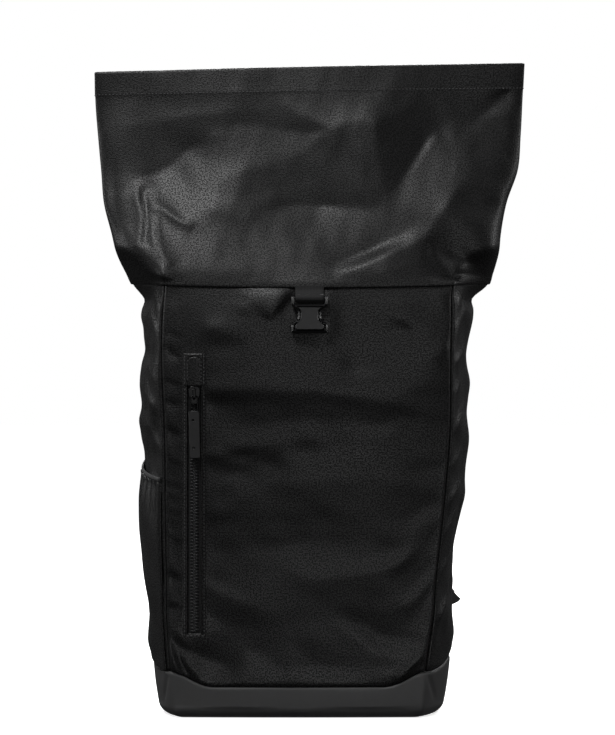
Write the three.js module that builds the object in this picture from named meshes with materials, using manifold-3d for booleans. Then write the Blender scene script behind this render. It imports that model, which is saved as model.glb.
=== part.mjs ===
// A roll-top laptop backpack, standing on its base with the collar unrolled and open.
// Millimetres, +Z up, front towards -Y, origin at the middle of the base's underside.
import * as THREE from "three";
import { LoftGeometry } from "three/addons/geometries/LoftGeometry.js";
import { mergeVertices } from "three/addons/utils/BufferGeometryUtils.js";
import Module from "manifold-3d";

const wasm = await Module();
wasm.setup();
const { lerp, smoothstep } = THREE.MathUtils;

// Driving dimensions: cloth and sewing.
const SEAM_GAP = 0.3;
const SEAM_EDGE = 0.001;
const TRIM_GAP = 0.4;
const JOIN = 0.4;
const PANEL_CLOTH = 1.8;
const COLLAR_CLOTH = 1.6;
const BOOT_SKIN = 3;
const BACK_PAD = 6;
const BACK_PAD_EDGE = 3;
const BACK_PAD_SOFT = { across: 12, along: 14 };
const WEBBING = 1.6;
const CLOSURE_WIDTH = 30;
const STRAP_WEB_WIDTH = 25;

// Driving dimensions: heights above the floor.
const BODY_TOP = 457;
const SEAM_DIP = 5;
const SEAM_SIDE_LIFT = 3;
const COLLAR_LAP = 4;
const LAP_CLEAR = 0.5;
const RIM = 692;
const RIM_TILT = 0.021;
const BACK_RIM = { lift: 6, from: -60, to: 120 };
const HEM = 27;
const HEM_EXTRA = 0.9;
const HEM_STEP = 2;
const BOOT_FRONT = 33;
const BOOT_CORNER = 49;
const BOOT_SIDE = 61;
const BOOT_ROUND = 14;
const BOOT_SWEEP = { front: 0.55, side: 0.5 };

// The bag's girth at a few heights. Sides are the outline's left and right, seams are where the
// front panel's edges run, front and back are depths at those seams, crown is the front's bulge.
const SECTIONS = [
  { z: 0, sideLeft: -152, sideRight: 150, seamLeft: -134, seamRight: 126, front: -70, back: 71, crown: 3 },
  { z: 33, sideLeft: -157, sideRight: 156, seamLeft: -137, seamRight: 129, front: -71, back: 72, crown: 4 },
  { z: 62, sideLeft: -160, sideRight: 159, seamLeft: -140, seamRight: 132, front: -71, back: 72, crown: 5 },
  { z: 110, sideLeft: -162, sideRight: 161, seamLeft: -143, seamRight: 139, front: -71, back: 72, crown: 7 },
  { z: 140, sideLeft: -162, sideRight: 159, seamLeft: -143, seamRight: 141, front: -71, back: 72, crown: 8 },
  { z: 205, sideLeft: -165, sideRight: 167, seamLeft: -144, seamRight: 148, front: -71, back: 72, crown: 10 },
  { z: 300, sideLeft: -170, sideRight: 179, seamLeft: -145, seamRight: 156, front: -71, back: 72, crown: 12 },
  { z: 380, sideLeft: -172, sideRight: 177, seamLeft: -148, seamRight: 157, front: -71, back: 72, crown: 10 },
  { z: 432, sideLeft: -168, sideRight: 184, seamLeft: -147, seamRight: 158, front: -70, back: 72, crown: 7 },
  { z: 443, sideLeft: -167, sideRight: 183, seamLeft: -146, seamRight: 158, front: -70, back: 72, crown: 6 },
  { z: 457, sideLeft: -181, sideRight: 199, seamLeft: -145, seamRight: 159, front: -69, back: 72, crown: 5 },
  { z: 470, sideLeft: -187, sideRight: 203, seamLeft: -146, seamRight: 159, front: -68, back: 72, crown: 7 },
  { z: 485, sideLeft: -193, sideRight: 206, seamLeft: -147, seamRight: 160, front: -65, back: 72, crown: 10 },
  { z: 512, sideLeft: -200, sideRight: 209, seamLeft: -149, seamRight: 162, front: -55, back: 70, crown: 13 },
  { z: 545, sideLeft: -209, sideRight: 216, seamLeft: -151, seamRight: 165, front: -38, back: 65, crown: 14 },
  { z: 580, sideLeft: -213, sideRight: 229, seamLeft: -152, seamRight: 167, front: -20, back: 57, crown: 13 },
  { z: 615, sideLeft: -217, sideRight: 233, seamLeft: -153, seamRight: 168, front: -6, back: 47, crown: 11 },
  { z: 657, sideLeft: -221, sideRight: 236, seamLeft: -154, seamRight: 169, front: 4, back: 36, crown: 9 },
  { z: 692, sideLeft: -222, sideRight: 238, seamLeft: -154, seamRight: 169, front: 8, back: 28, crown: 8 },
];
const GIRTH_STEPS = [24, 8, 10, 8];
const BODY_ROWS = 18;
const EASING = 0.5;
const ROWS_TO_TOP = 1.7;
const BACK_INSET = 6;
const BACK_CROWN = 3;
const SIDE_ROUNDNESS = 0.8;
const VEE_START = 420;
const VEE_TIP = 0.08;
const FOLD_FADE = 0.2;

// Folds of the front: a crest runs from (x0, z0) to (x1, z1) and bows sideways by bow. It stands out
// by height, or sinks where height is negative, and fades over the flank above and the flank below.
const FRONT_FOLDS = [
  { x0: 168, z0: 624, x1: 5, z1: 484, bow: -34, height: 12, above: 26, below: 30 },
  { x0: -118, z0: 552, x1: 96, z1: 556, bow: 8, height: -10, above: 30, below: 18 },
  { x0: -122, z0: 562, x1: -8, z1: 636, bow: 12, height: 8, above: 20, below: 26 },
  { x0: 86, z0: 560, x1: 120, z1: 642, bow: 0, height: -9, above: 20, below: 20 },
  { x0: -152, z0: 492, x1: 66, z1: 506, bow: 6, height: 7, above: 24, below: 22 },
  { x0: 152, z0: 516, x1: 192, z1: 474, bow: 0, height: -8, above: 18, below: 18 },
  { x0: -158, z0: 584, x1: -146, z1: 466, bow: 8, height: 7, above: 14, below: 14 },
  { x0: -118, z0: 318, x1: 146, z1: 326, bow: 10, height: 3, above: 48, below: 40 },
  { x0: 24, z0: 150, x1: 118, z1: 182, bow: 4, height: 4, above: 16, below: 18 },
  { x0: 84, z0: 112, x1: 140, z1: 160, bow: -4, height: 5, above: 16, below: 16 },
  { x0: 20, z0: 112, x1: 96, z1: 66, bow: -6, height: -4, above: 16, below: 18 },
];

// The front pocket's zip, beside the left seam.
const ZIP_X = -113;
const ZIP_TOP = 384;
const ZIP_BOTTOM = 86;
const ZIP_WINDOW = 14;
const ZIP_FRAME = 22;
const ZIP_TAPE = 1;
const ZIP_END = 4;
const CHAIN_END = { low: 6, high: 2 };
const CHAIN_WIDTH = 6.6;
const CHAIN_PROUD = 0.6;
const GARAGE_DROP = 34;
const GARAGE_CLOTH = 1.2;
const SLIDER = { width: 12.6, waist: 7.8, length: 19, shoulder: 8.5, hip: 14.2, plate: 2.6 };
const BRIDGE = { length: 12, rise: 5, strip: 3.2, wire: 1.6, middle: 8 };
const PULL = { width: 11.5, length: 49, thick: 2.2, round: 3 };
const EYE = { bar: 1.8, width: 5.6, drop: 13, lip: 1, play: 0.7 };

// The side-release buckle's socket, hung on a webbing tab under the collar.
const BUCKLE_X = 8;
const BUCKLE_BAR_Z = 441;
const BUCKLE = { thick: 10, half: 19, waist: 12.3, round: 2.5, flare: 1.5 };
const BUCKLE_BAR = { radius: 1.9, seat: 2, slotWidth: 31, slotDepth: 6.4 };
const BUCKLE_HOLLOW = { depth: 6.4, mouthWall: 3.6, throatWall: 2.3, past: 1 };
const BUCKLE_OUTLINE = {
  top: 3, shoulder: -7.5, waistTop: -12.5, waistBottom: -22, flange: -27, bottom: -36,
};
const BUCKLE_STANDOFF = 1.6;

// The stretch pocket low on the left side.
const POCKET_TOP_BACK = 286;
const POCKET_TOP_FRONT = 247;
const POCKET_SAG = 6;
const POCKET_SIDE = 0.03;
const POCKET_CLOTH = 1.6;
const POCKET_BULGE = 8;
const POCKET_MOUTH_SHARE = 0.16;
const POCKET_BELLY = 2;
const BINDING = 5;
const BINDING_CLOTH = 2.6;

// Carrying gear on the back. Straps mirror about the middle of the back panel.
const BACK_MIDDLE = 6;
const STRAP_TOP_Z = 423;
const STRAP_END = { x: 102, stand: 16, z: 172 };
const STRAP_SPREAD = 56;
const STRAP_BOW = { out: 60, inward: 4, share: 0.3 };
const STRAP_LEAD = 90;
const STRAP_WIDTH = 62;
const STRAP_END_WIDTH = 42;
const STRAP_TAPER = 0.45;
const STRAP_PAD = 8;
const STRAP_PAD_EDGE = 3.6;
const STRAP_PAD_SOFT = { across: 8, along: 9 };
const ADJUSTER = { width: 36, thick: 4.4, rail: 5, slot: 6.5, play: 0.8 };
const ANCHOR = { z: 122, root: 62, reach: 36, droop: 8, nose: 3, cloth: 2.4 };
const TAIL_LENGTH = 64;
const HANDLE = { span: 104, z: 440, bow: 30, cloth: 2.6 };
const CLOSURE_TOP_Z = 414;
const CLOSURE_LENGTH = 296;
const CLOSURE_FOLD = 45;
const PLUG = {
  thick: 5, half: 19, bar: 2, slot: 6, collar: 7, prong: 27, tongue: 3.5, armIn: 9.5, armOut: 14,
};

const cloth = new THREE.MeshStandardMaterial({ color: 0x17181a, roughness: 0.82, metalness: 0 });
const bootSkin = new THREE.MeshStandardMaterial({ color: 0x1e1f21, roughness: 0.62, metalness: 0 });
const padMesh = new THREE.MeshStandardMaterial({ color: 0x1a1b1d, roughness: 0.9, metalness: 0 });
const webbing = new THREE.MeshStandardMaterial({ color: 0x121314, roughness: 0.75, metalness: 0 });
const plastic = new THREE.MeshStandardMaterial({ color: 0x151617, roughness: 0.45, metalness: 0 });
const zipMetal = new THREE.MeshStandardMaterial({ color: 0x101113, roughness: 0.32, metalness: 0.3 });

const bag = new THREE.Group();

function addPart(name, geometry, material, parent = bag) {
  const mesh = new THREE.Mesh(geometry, material);
  mesh.name = name;
  parent.add(mesh);
  return mesh;
}

// One closed skin: shared vertices merged, collapsed triangles dropped.
function closedSkin(geometry) {
  const bare = new THREE.BufferGeometry();
  bare.setAttribute("position", geometry.getAttribute("position").clone());
  bare.setIndex(geometry.getIndex());
  const merged = mergeVertices(bare, 1e-4);
  const index = merged.getIndex().array;
  const kept = [];
  for (let i = 0; i < index.length; i += 3) {
    const [a, b, c] = [index[i], index[i + 1], index[i + 2]];
    if (a !== b && b !== c && c !== a) {
      kept.push(a, b, c);
    }
  }
  merged.setIndex(kept);
  merged.computeVertexNormals();
  return merged;
}

function toSolid(geometry) {
  const skin = closedSkin(geometry);
  return new wasm.Manifold(new wasm.Mesh({
    numProp: 3,
    vertProperties: new Float32Array(skin.getAttribute("position").array),
    triVerts: new Uint32Array(skin.getIndex().array),
  }));
}

function fromSolid(solid) {
  const mesh = solid.getMesh();
  const geometry = new THREE.BufferGeometry();
  geometry.setAttribute("position", new THREE.BufferAttribute(mesh.vertProperties, 3));
  geometry.setIndex(new THREE.BufferAttribute(mesh.triVerts, 1));
  geometry.computeVertexNormals();
  return geometry;
}

function blockBetween(low, high) {
  const size = new THREE.Vector3().subVectors(high, low);
  const middle = new THREE.Vector3().addVectors(low, high).multiplyScalar(0.5);
  return new THREE.BoxGeometry(size.x, size.y, size.z).translate(middle.x, middle.y, middle.z);
}

// A sheet is a flat box blank bent to place(u, v, layer): u across, v along, layer 0 inside to 1 outside.
function bentSheet(acrossSteps, alongSteps, place) {
  const blank = new THREE.BoxGeometry(1, 1, 1, acrossSteps, alongSteps, 1);
  const position = blank.getAttribute("position");
  for (let i = 0; i < position.count; i += 1) {
    const point = place(position.getX(i) + 0.5, position.getY(i) + 0.5, position.getZ(i) + 0.5);
    position.setXYZ(i, point.x, point.y, point.z);
  }
  return closedSkin(blank);
}

// A ribbon follows a curve. Its flat side faces towards facing, its thickness grows on that side.
function ribbon(curve, steps, acrossSteps, facing, widthAt, thicknessAt) {
  return bentSheet(acrossSteps, steps, (u, v, layer) => {
    const along = curve.getTangentAt(v);
    const side = new THREE.Vector3().crossVectors(along, facing).normalize();
    const out = new THREE.Vector3().crossVectors(side, along).normalize();
    return curve.getPointAt(v)
      .addScaledVector(side, (u - 0.5) * widthAt(v))
      .addScaledVector(out, layer * thicknessAt(u, v));
  });
}

// Columns of the section table, smoothed between its rows.
const columns = {};
for (const name of Object.keys(SECTIONS[0])) {
  const heights = SECTIONS.map((row) => row.z);
  columns[name] = new THREE.CubicInterpolant(heights, SECTIONS.map((row) => row[name]), 1);
}
const section = (name, z) => columns[name].evaluate(z)[0];

function foldRise(fold, x, z) {
  const [runX, runZ] = [fold.x1 - fold.x0, fold.z1 - fold.z0];
  const run = Math.hypot(runX, runZ);
  const t = ((x - fold.x0) * runX + (z - fold.z0) * runZ) / (run * run);
  if (t <= 0 || t >= 1) {
    return 0;
  }
  const swell = Math.sin(Math.PI * t);
  const left = ((z - fold.z0) * runX - (x - fold.x0) * runZ) / run;
  const above = (left - fold.bow * swell) * Math.sign(runX);
  const flank = above > 0 ? fold.above : fold.below;
  return fold.height * Math.sqrt(swell) * Math.exp(-((above / flank) ** 2));
}

function frontRelief(x, z) {
  return FRONT_FOLDS.reduce((sum, fold) => sum + foldRise(fold, x, z), 0);
}

// How far a gusset stands out from the line between its two seams: round, or pinched to a tip on top.
function gussetShape(t, z) {
  const round = Math.sin(Math.PI * t) ** SIDE_ROUNDNESS;
  const blunt = Math.hypot(2 * t - 1, VEE_TIP) - VEE_TIP;
  const pinched = 1 - blunt / (Math.hypot(1, VEE_TIP) - VEE_TIP);
  return lerp(round, pinched, smoothstep(z, VEE_START, BODY_TOP));
}

// A point of the bag's outer girth. s runs round the bag, one unit for each panel:
// 0 to 1 front, 1 to 2 right side, 2 to 3 back, 3 to 4 left side.
const [FRONT, RIGHT, BACK, LEFT] = [0, 1, 2, 3];
function girth(s, z) {
  const turn = THREE.MathUtils.euclideanModulo(s, 4);
  const panel = Math.floor(turn);
  const t = turn - panel;
  const [seamLeft, seamRight] = [section("seamLeft", z), section("seamRight", z)];
  const [front, back] = [section("front", z), section("back", z)];
  const inset = BACK_INSET * (1 - smoothstep(z, BODY_TOP, RIM));
  const [backLeft, backRight] = [seamLeft + inset, seamRight - inset];
  const arch = 1 - (2 * t - 1) ** 2;
  if (panel === FRONT) {
    const x = lerp(seamLeft, seamRight, t);
    const relief = frontRelief(x, z) * smoothstep(arch, 0, FOLD_FADE);
    return new THREE.Vector3(x, front - section("crown", z) * arch - relief, z);
  }
  if (panel === BACK) {
    const bulge = lerp(BACK_CROWN, section("crown", z), smoothstep(z, BODY_TOP, RIM));
    return new THREE.Vector3(lerp(backRight, backLeft, t), back + bulge * arch, z);
  }
  if (panel === RIGHT) {
    const bulge = section("sideRight", z) - (seamRight + backRight) / 2;
    const x = lerp(seamRight, backRight, t) + bulge * gussetShape(t, z);
    return new THREE.Vector3(x, lerp(front, back, t), z);
  }
  const bulge = section("sideLeft", z) - (seamLeft + backLeft) / 2;
  const x = lerp(backLeft, seamLeft, t) + bulge * gussetShape(t, z);
  return new THREE.Vector3(x, lerp(back, front, t), z);
}

// Level direction out of the bag. Neighbouring panels share it at a seam, so their edges are mitred.
function outward(s, z) {
  const step = 0.02;
  const along = girth(s + step, z).sub(girth(s - step, z));
  return new THREE.Vector3(along.y, -along.x, 0).normalize();
}

const onBag = (s, z, offset) => girth(s, z).addScaledVector(outward(s, z), offset);

// Heights of the two long seams, round the bag: body to collar, and boot to body.
function cornerNearness(s) {
  const turn = THREE.MathUtils.euclideanModulo(s, 4);
  const t = turn - Math.floor(turn);
  return { panel: Math.floor(turn), arch: 1 - (2 * t - 1) ** 2, t };
}

function collarSeam(s) {
  const { panel, arch } = cornerNearness(s);
  const shift = { [FRONT]: -SEAM_DIP, [RIGHT]: SEAM_SIDE_LIFT, [BACK]: 0, [LEFT]: SEAM_SIDE_LIFT }[panel];
  return BODY_TOP + shift * arch;
}

function bootSeam(s) {
  const { panel, arch, t } = cornerNearness(s);
  if (panel === FRONT) {
    return lerp(BOOT_CORNER, BOOT_FRONT, smoothstep(arch, 0, BOOT_SWEEP.front));
  }
  if (panel === BACK) {
    return BOOT_SIDE;
  }
  const fromFront = panel === RIGHT ? t : 1 - t;
  return lerp(BOOT_CORNER, BOOT_SIDE, smoothstep(fromFront, 0, BOOT_SWEEP.side));
}

// Stops round the girth, closer together near the seams. Every ring of cloth uses the same ones.
const eased = (u) => lerp(u, (1 - Math.cos(Math.PI * u)) / 2, EASING);
const girthStops = GIRTH_STEPS.flatMap((count, panel) => (
  Array.from({ length: count }, (_, k) => panel + eased(k / count))
));

// How full a pad is: it thins towards its sewn edges.
function padShare(u, v, soft) {
  return Math.min(1, soft.across * u * (1 - u)) * Math.min(1, soft.along * v * (1 - v));
}

// A sewn wall of the body: one panel of the girth, from the boot to the collar.
function bodyWall(panel, alongSteps, thicknessAt) {
  return bentSheet(GIRTH_STEPS[panel], alongSteps, (u, v, layer) => {
    const s = panel + THREE.MathUtils.clamp(eased(u), SEAM_EDGE, 1 - SEAM_EDGE);
    const rise = 1 - (1 - v) ** ROWS_TO_TOP;
    const z = lerp(bootSeam(s) + SEAM_GAP, collarSeam(s) - SEAM_GAP, rise);
    return onBag(s, z, (layer - 1) * thicknessAt(u, v));
  });
}

function buildFrontPanel() {
  const wall = toSolid(bodyWall(FRONT, BODY_ROWS, () => PANEL_CLOTH));
  const reach = 60;
  const y = girth(frontStop(ZIP_X, ZIP_BOTTOM), ZIP_BOTTOM).y;
  const window = toSolid(blockBetween(
    new THREE.Vector3(ZIP_X - ZIP_WINDOW / 2, y - reach, ZIP_BOTTOM + ZIP_END),
    new THREE.Vector3(ZIP_X + ZIP_WINDOW / 2, y + reach, ZIP_TOP - ZIP_END),
  ));
  addPart("front_panel", fromSolid(wall.subtract(window)), cloth);
}

function buildSidesAndBack() {
  addPart("side_panel_right", bodyWall(RIGHT, BODY_ROWS, () => PANEL_CLOTH), cloth);
  addPart("side_panel_left", bodyWall(LEFT, BODY_ROWS, () => PANEL_CLOTH), cloth);
  const padding = (u, v) => lerp(BACK_PAD_EDGE, BACK_PAD, padShare(u, v, BACK_PAD_SOFT));
  addPart("back_panel", bodyWall(BACK, BODY_ROWS, padding), padMesh);
}

// The boot is one pressed skin: flat underneath, rounded up into low walls.
function buildBoot() {
  const roundSteps = 3;
  const wallSteps = 2;
  const ring = (inset, heightAt) => girthStops.map((s) => onBag(s, heightAt(s), -inset));
  const skin = (depth) => {
    const rings = [];
    const round = BOOT_ROUND - depth;
    for (let k = 0; k <= roundSteps; k += 1) {
      const angle = (k / roundSteps) * Math.PI / 2;
      const rise = depth + round * (1 - Math.cos(angle));
      rings.push(ring(depth + round * (1 - Math.sin(angle)), () => rise));
    }
    for (let k = 1; k <= wallSteps; k += 1) {
      rings.push(ring(depth, (s) => lerp(BOOT_ROUND, bootSeam(s), k / wallSteps)));
    }
    return rings;
  };
  const middle = (z) => girthStops.map(() => new THREE.Vector3(0, 0, z));
  const rings = [middle(0), ...skin(0), ...skin(BOOT_SKIN).reverse(), middle(BOOT_SKIN)];
  addPart("base_boot", closedSkin(new LoftGeometry(rings)), bootSkin);
}

// The collar laps over the body's top edge and narrows to a flat open mouth.
function buildCollar() {
  const plainRows = 12;
  const height = RIM - BODY_TOP + COLLAR_LAP;
  const lapShare = COLLAR_LAP / height;
  const hemShare = HEM / height;
  const rows = [0];
  for (let k = 0; k <= plainRows; k += 1) {
    rows.push(lerp(lapShare, 1 - hemShare, k / plainRows));
  }
  rows.push(1 - hemShare + HEM_STEP / height, 1);
  const clothPoint = (s, v, depth) => {
    const z = lerp(collarSeam(s) - COLLAR_LAP, RIM, v);
    const hem = v > 1 - hemShare ? HEM_EXTRA : 0;
    const point = onBag(s, z, LAP_CLEAR + (1 - depth) * (COLLAR_CLOTH + hem));
    const { panel, arch } = cornerNearness(s);
    const backArch = panel === BACK ? arch : 0;
    const backLift = BACK_RIM.lift * backArch * smoothstep(-point.x, BACK_RIM.from, BACK_RIM.to);
    point.z += (RIM_TILT * point.x + backLift) * v * v;
    return point;
  };
  const slices = [...girthStops, girthStops[0]].map((s) => [
    ...rows.map((v) => clothPoint(s, v, 1)),
    ...rows.toReversed().map((v) => clothPoint(s, v, 0)),
  ]);
  addPart("roll_top_collar", closedSkin(new LoftGeometry(slices)), cloth);
}

// Height of the pocket's slanted edge, and how far the pocket bulges from the gusset.
const pocketEdge = (t) => lerp(POCKET_TOP_BACK, POCKET_TOP_FRONT, t) - POCKET_SAG * Math.sin(Math.PI * t);
function pocketBulge(t, v) {
  const belly = Math.sin(Math.PI * v ** POCKET_BELLY);
  return POCKET_BULGE * Math.sqrt(Math.sin(Math.PI * t)) * Math.max(belly, POCKET_MOUTH_SHARE * v);
}

function buildSidePocket() {
  const [from, to] = [LEFT + POCKET_SIDE, LEFT + 1 - POCKET_SIDE];
  const panel = bentSheet(8, 12, (u, v, layer) => {
    const s = lerp(from, to, u);
    const z = lerp(bootSeam(s) + SEAM_GAP, pocketEdge(s - LEFT), v);
    return onBag(s, z, TRIM_GAP + pocketBulge(u, v) + layer * POCKET_CLOTH);
  });
  addPart("side_pocket_left", panel, cloth);
  const binding = bentSheet(8, 1, (u, v, layer) => {
    const s = lerp(from, to, u);
    const z = pocketEdge(s - LEFT) + SEAM_GAP + v * BINDING;
    return onBag(s, z, TRIM_GAP + pocketBulge(u, 1) + layer * BINDING_CLOTH);
  });
  addPart("side_pocket_binding", binding, webbing);
}

// Where the front panel crosses x at a height, as a stop of the girth.
function frontStop(x, z) {
  const [left, right] = [section("seamLeft", z), section("seamRight", z)];
  return (x - left) / (right - left);
}

// A strip that lies along the front panel at the zip, from one height to another.
function zipStrip(width, bottom, top, inner, outer, steps) {
  return bentSheet(1, steps, (u, v, layer) => {
    const z = lerp(bottom, top, v);
    return onBag(frontStop(ZIP_X + (u - 0.5) * width, z), z, lerp(inner, outer, layer));
  });
}

function buildZip() {
  const behind = -PANEL_CLOTH - SEAM_GAP;
  const steps = 20;
  const tape = zipStrip(ZIP_FRAME, ZIP_BOTTOM, ZIP_TOP, behind - ZIP_TAPE, behind, steps);
  addPart("zip_tape", tape, webbing);
  const garageBottom = ZIP_TOP - GARAGE_DROP;
  const [chainLow, chainHigh] = [ZIP_BOTTOM + CHAIN_END.low, garageBottom - CHAIN_END.high];
  const chain = zipStrip(CHAIN_WIDTH, chainLow, chainHigh, behind + SEAM_GAP, CHAIN_PROUD, steps);
  addPart("zip_chain", chain, zipMetal);
  const cap = zipStrip(ZIP_FRAME, garageBottom, ZIP_TOP, SEAM_GAP, SEAM_GAP + GARAGE_CLOTH, 4);
  addPart("zip_garage", cap, cloth);
}

// A shape drawn in x and z, pushed out towards the front by depth.
function extrudeForward(shape, depth, curveSegments = 6) {
  const geometry = new THREE.ExtrudeGeometry(shape, { depth, bevelEnabled: false, curveSegments });
  return geometry.rotateX(Math.PI / 2);
}

// A shape drawn in depth (forward of the axis) and z, spread to both sides along x.
const ACROSS = new THREE.Matrix4().makeBasis(
  new THREE.Vector3(0, -1, 0),
  new THREE.Vector3(0, 0, 1),
  new THREE.Vector3(-1, 0, 0),
);
function extrudeAcross(shape, width, curveSegments = 6) {
  const geometry = new THREE.ExtrudeGeometry(shape, { depth: width, bevelEnabled: false, curveSegments });
  return geometry.translate(0, 0, -width / 2).applyMatrix4(ACROSS);
}

function rectangle(target, left, bottom, right, top) {
  target.moveTo(left, bottom);
  target.lineTo(right, bottom);
  target.lineTo(right, top);
  target.lineTo(left, top);
  target.closePath();
  return target;
}

// Slider: a plate that tapers to its lower end, under a bridge that holds the pull's bar.
const pullAxis = {
  out: SLIDER.plate + (BRIDGE.rise - BRIDGE.wire) / 2,
  drop: EYE.bar / 2 + EYE.play + BRIDGE.wire - BRIDGE.middle - BRIDGE.length / 2,
};

function sliderGeometry() {
  const half = SLIDER.width / 2;
  const waist = SLIDER.waist / 2;
  const hipHalf = (half + waist) / 2;
  const plate = new THREE.Shape();
  plate.moveTo(-half, -SLIDER.shoulder);
  plate.quadraticCurveTo(-hipHalf, -SLIDER.hip, -waist, -SLIDER.length);
  plate.lineTo(waist, -SLIDER.length);
  plate.quadraticCurveTo(hipHalf, -SLIDER.hip, half, -SLIDER.shoulder);
  plate.quadraticCurveTo(half, 0, waist, 0);
  plate.lineTo(-waist, 0);
  plate.quadraticCurveTo(-half, 0, -half, -SLIDER.shoulder);
  const crest = SLIDER.plate + BRIDGE.rise;
  const [low, high] = [-BRIDGE.middle - BRIDGE.length / 2, BRIDGE.length / 2 - BRIDGE.middle];
  const bridge = rectangle(new THREE.Shape(), SLIDER.plate - JOIN, low, crest, high);
  const hollow = [SLIDER.plate, low + BRIDGE.wire, crest - BRIDGE.wire, high - BRIDGE.wire];
  bridge.holes.push(rectangle(new THREE.Path(), ...hollow));
  const strip = toSolid(extrudeAcross(bridge, BRIDGE.strip));
  return fromSolid(toSolid(extrudeForward(plate, SLIDER.plate)).add(strip));
}

// Pull: an eye whose top bar lies under the slider's bridge, and a moulded tab below it.
function pullGeometry() {
  const { bar, lip } = EYE;
  const { round } = PULL;
  const [eyeHalf, half] = [EYE.width / 2, PULL.width / 2];
  const tabTop = -EYE.drop;
  const tabEnd = tabTop - PULL.length;
  const outline = new THREE.Shape();
  outline.moveTo(-eyeHalf - bar, bar / 2);
  outline.lineTo(-eyeHalf - bar, tabTop + lip);
  outline.lineTo(-half, tabTop - lip);
  outline.lineTo(-half, tabEnd + round);
  outline.quadraticCurveTo(-half, tabEnd, round - half, tabEnd);
  outline.lineTo(half - round, tabEnd);
  outline.quadraticCurveTo(half, tabEnd, half, tabEnd + round);
  outline.lineTo(half, tabTop - lip);
  outline.lineTo(eyeHalf + bar, tabTop + lip);
  outline.lineTo(eyeHalf + bar, bar / 2);
  outline.closePath();
  outline.holes.push(rectangle(new THREE.Path(), -eyeHalf, tabTop + 2 * lip, eyeHalf, -bar / 2));
  return extrudeForward(outline, PULL.thick, 3).translate(0, PULL.thick / 2, 0);
}

function buildSliderAndPull() {
  const top = ZIP_TOP - GARAGE_DROP - 2 * SEAM_GAP;
  const chainFaces = [top, top - SLIDER.length].flatMap((z) => [-0.5, 0.5].map((share) => (
    onBag(frontStop(ZIP_X + share * CHAIN_WIDTH, z), z, CHAIN_PROUD).y
  )));
  const seat = Math.min(...chainFaces) - SEAM_GAP;
  const slider = new THREE.Group();
  slider.position.set(ZIP_X, seat, top);
  bag.add(slider);
  addPart("zip_slider", closedSkin(sliderGeometry()), zipMetal, slider);
  const pull = addPart("zip_pull", closedSkin(pullGeometry()), plastic, slider);
  pull.position.set(0, -pullAxis.out, pullAxis.drop);
}

// Socket: an hourglass shell with a bar for the tab on top and a hollow that takes the plug below.
function socketOutline() {
  const { top, shoulder, waistTop, waistBottom, flange, bottom } = BUCKLE_OUTLINE;
  const { half, waist, round, flare } = BUCKLE;
  const outline = new THREE.Shape();
  outline.moveTo(-half + round, bottom);
  outline.lineTo(half - round, bottom);
  outline.quadraticCurveTo(half, bottom, half, bottom + round);
  outline.lineTo(half, flange);
  outline.quadraticCurveTo(waist, flange + flare, waist, waistBottom);
  outline.lineTo(waist, waistTop);
  outline.quadraticCurveTo(waist, shoulder - flare, half, shoulder);
  outline.lineTo(half, top - round);
  outline.quadraticCurveTo(half, top, half - round, top);
  outline.lineTo(-half + round, top);
  outline.quadraticCurveTo(-half, top, -half, top - round);
  outline.lineTo(-half, shoulder);
  outline.quadraticCurveTo(-waist, shoulder - flare, -waist, waistTop);
  outline.lineTo(-waist, waistBottom);
  outline.quadraticCurveTo(-waist, flange + flare, -half, flange);
  outline.lineTo(-half, bottom + round);
  outline.quadraticCurveTo(-half, bottom, -half + round, bottom);
  return outline;
}

function socketGeometry() {
  const depth = BUCKLE.thick / 2;
  const { top, waistTop, waistBottom, bottom } = BUCKLE_OUTLINE;
  const cut = (halfWidth, halfDepth, low, high) => toSolid(blockBetween(
    new THREE.Vector3(-halfWidth, -halfDepth, low),
    new THREE.Vector3(halfWidth, halfDepth, high),
  ));
  const shell = toSolid(extrudeForward(socketOutline(), BUCKLE.thick, 4).translate(0, depth, 0));
  const { radius, seat, slotWidth, slotDepth } = BUCKLE_BAR;
  const bar = new THREE.CylinderGeometry(radius, radius, slotWidth + 2 * seat, 12).rotateZ(Math.PI / 2);
  const { mouthWall, throatWall, past } = BUCKLE_HOLLOW;
  const hollow = BUCKLE_HOLLOW.depth / 2;
  const webSlot = cut(slotWidth / 2, depth + past, -slotDepth, top + past);
  const mouth = cut(BUCKLE.half - mouthWall, hollow, bottom - past, waistBottom - past);
  const throat = cut(BUCKLE.waist - throatWall, hollow, waistBottom - 2 * past, waistTop - past);
  return fromSolid(shell.subtract(webSlot).subtract(mouth).subtract(throat).add(toSolid(bar)));
}

// Where a line from a point touches a circle round the origin, on one side.
function tangentAngle(point, radius, side) {
  return point.angle() + side * Math.acos(radius / point.length());
}

// Tab: doubled webbing that comes out under the collar and loops round the socket's bar.
function tabGeometry(backEdge) {
  const inner = BUCKLE_BAR.radius + TRIM_GAP;
  const outer = inner + WEBBING;
  const top = collarSeam(0.5) - COLLAR_LAP - SEAM_GAP - BUCKLE_BAR_Z;
  const rear = new THREE.Vector2(backEdge, top);
  const fore = new THREE.Vector2(backEdge + 2 * WEBBING + TRIM_GAP, top);
  const profile = new THREE.Shape();
  profile.moveTo(fore.x, fore.y);
  profile.lineTo(rear.x, rear.y);
  const start = tangentAngle(rear, outer, 1);
  const end = tangentAngle(fore, outer, -1) + 2 * Math.PI;
  profile.absarc(0, 0, outer, start, end, false);
  profile.closePath();
  const hole = new THREE.Path();
  hole.absarc(0, 0, inner, 0, 2 * Math.PI, false);
  profile.holes.push(hole);
  return extrudeAcross(profile, CLOSURE_WIDTH, 14);
}

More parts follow.
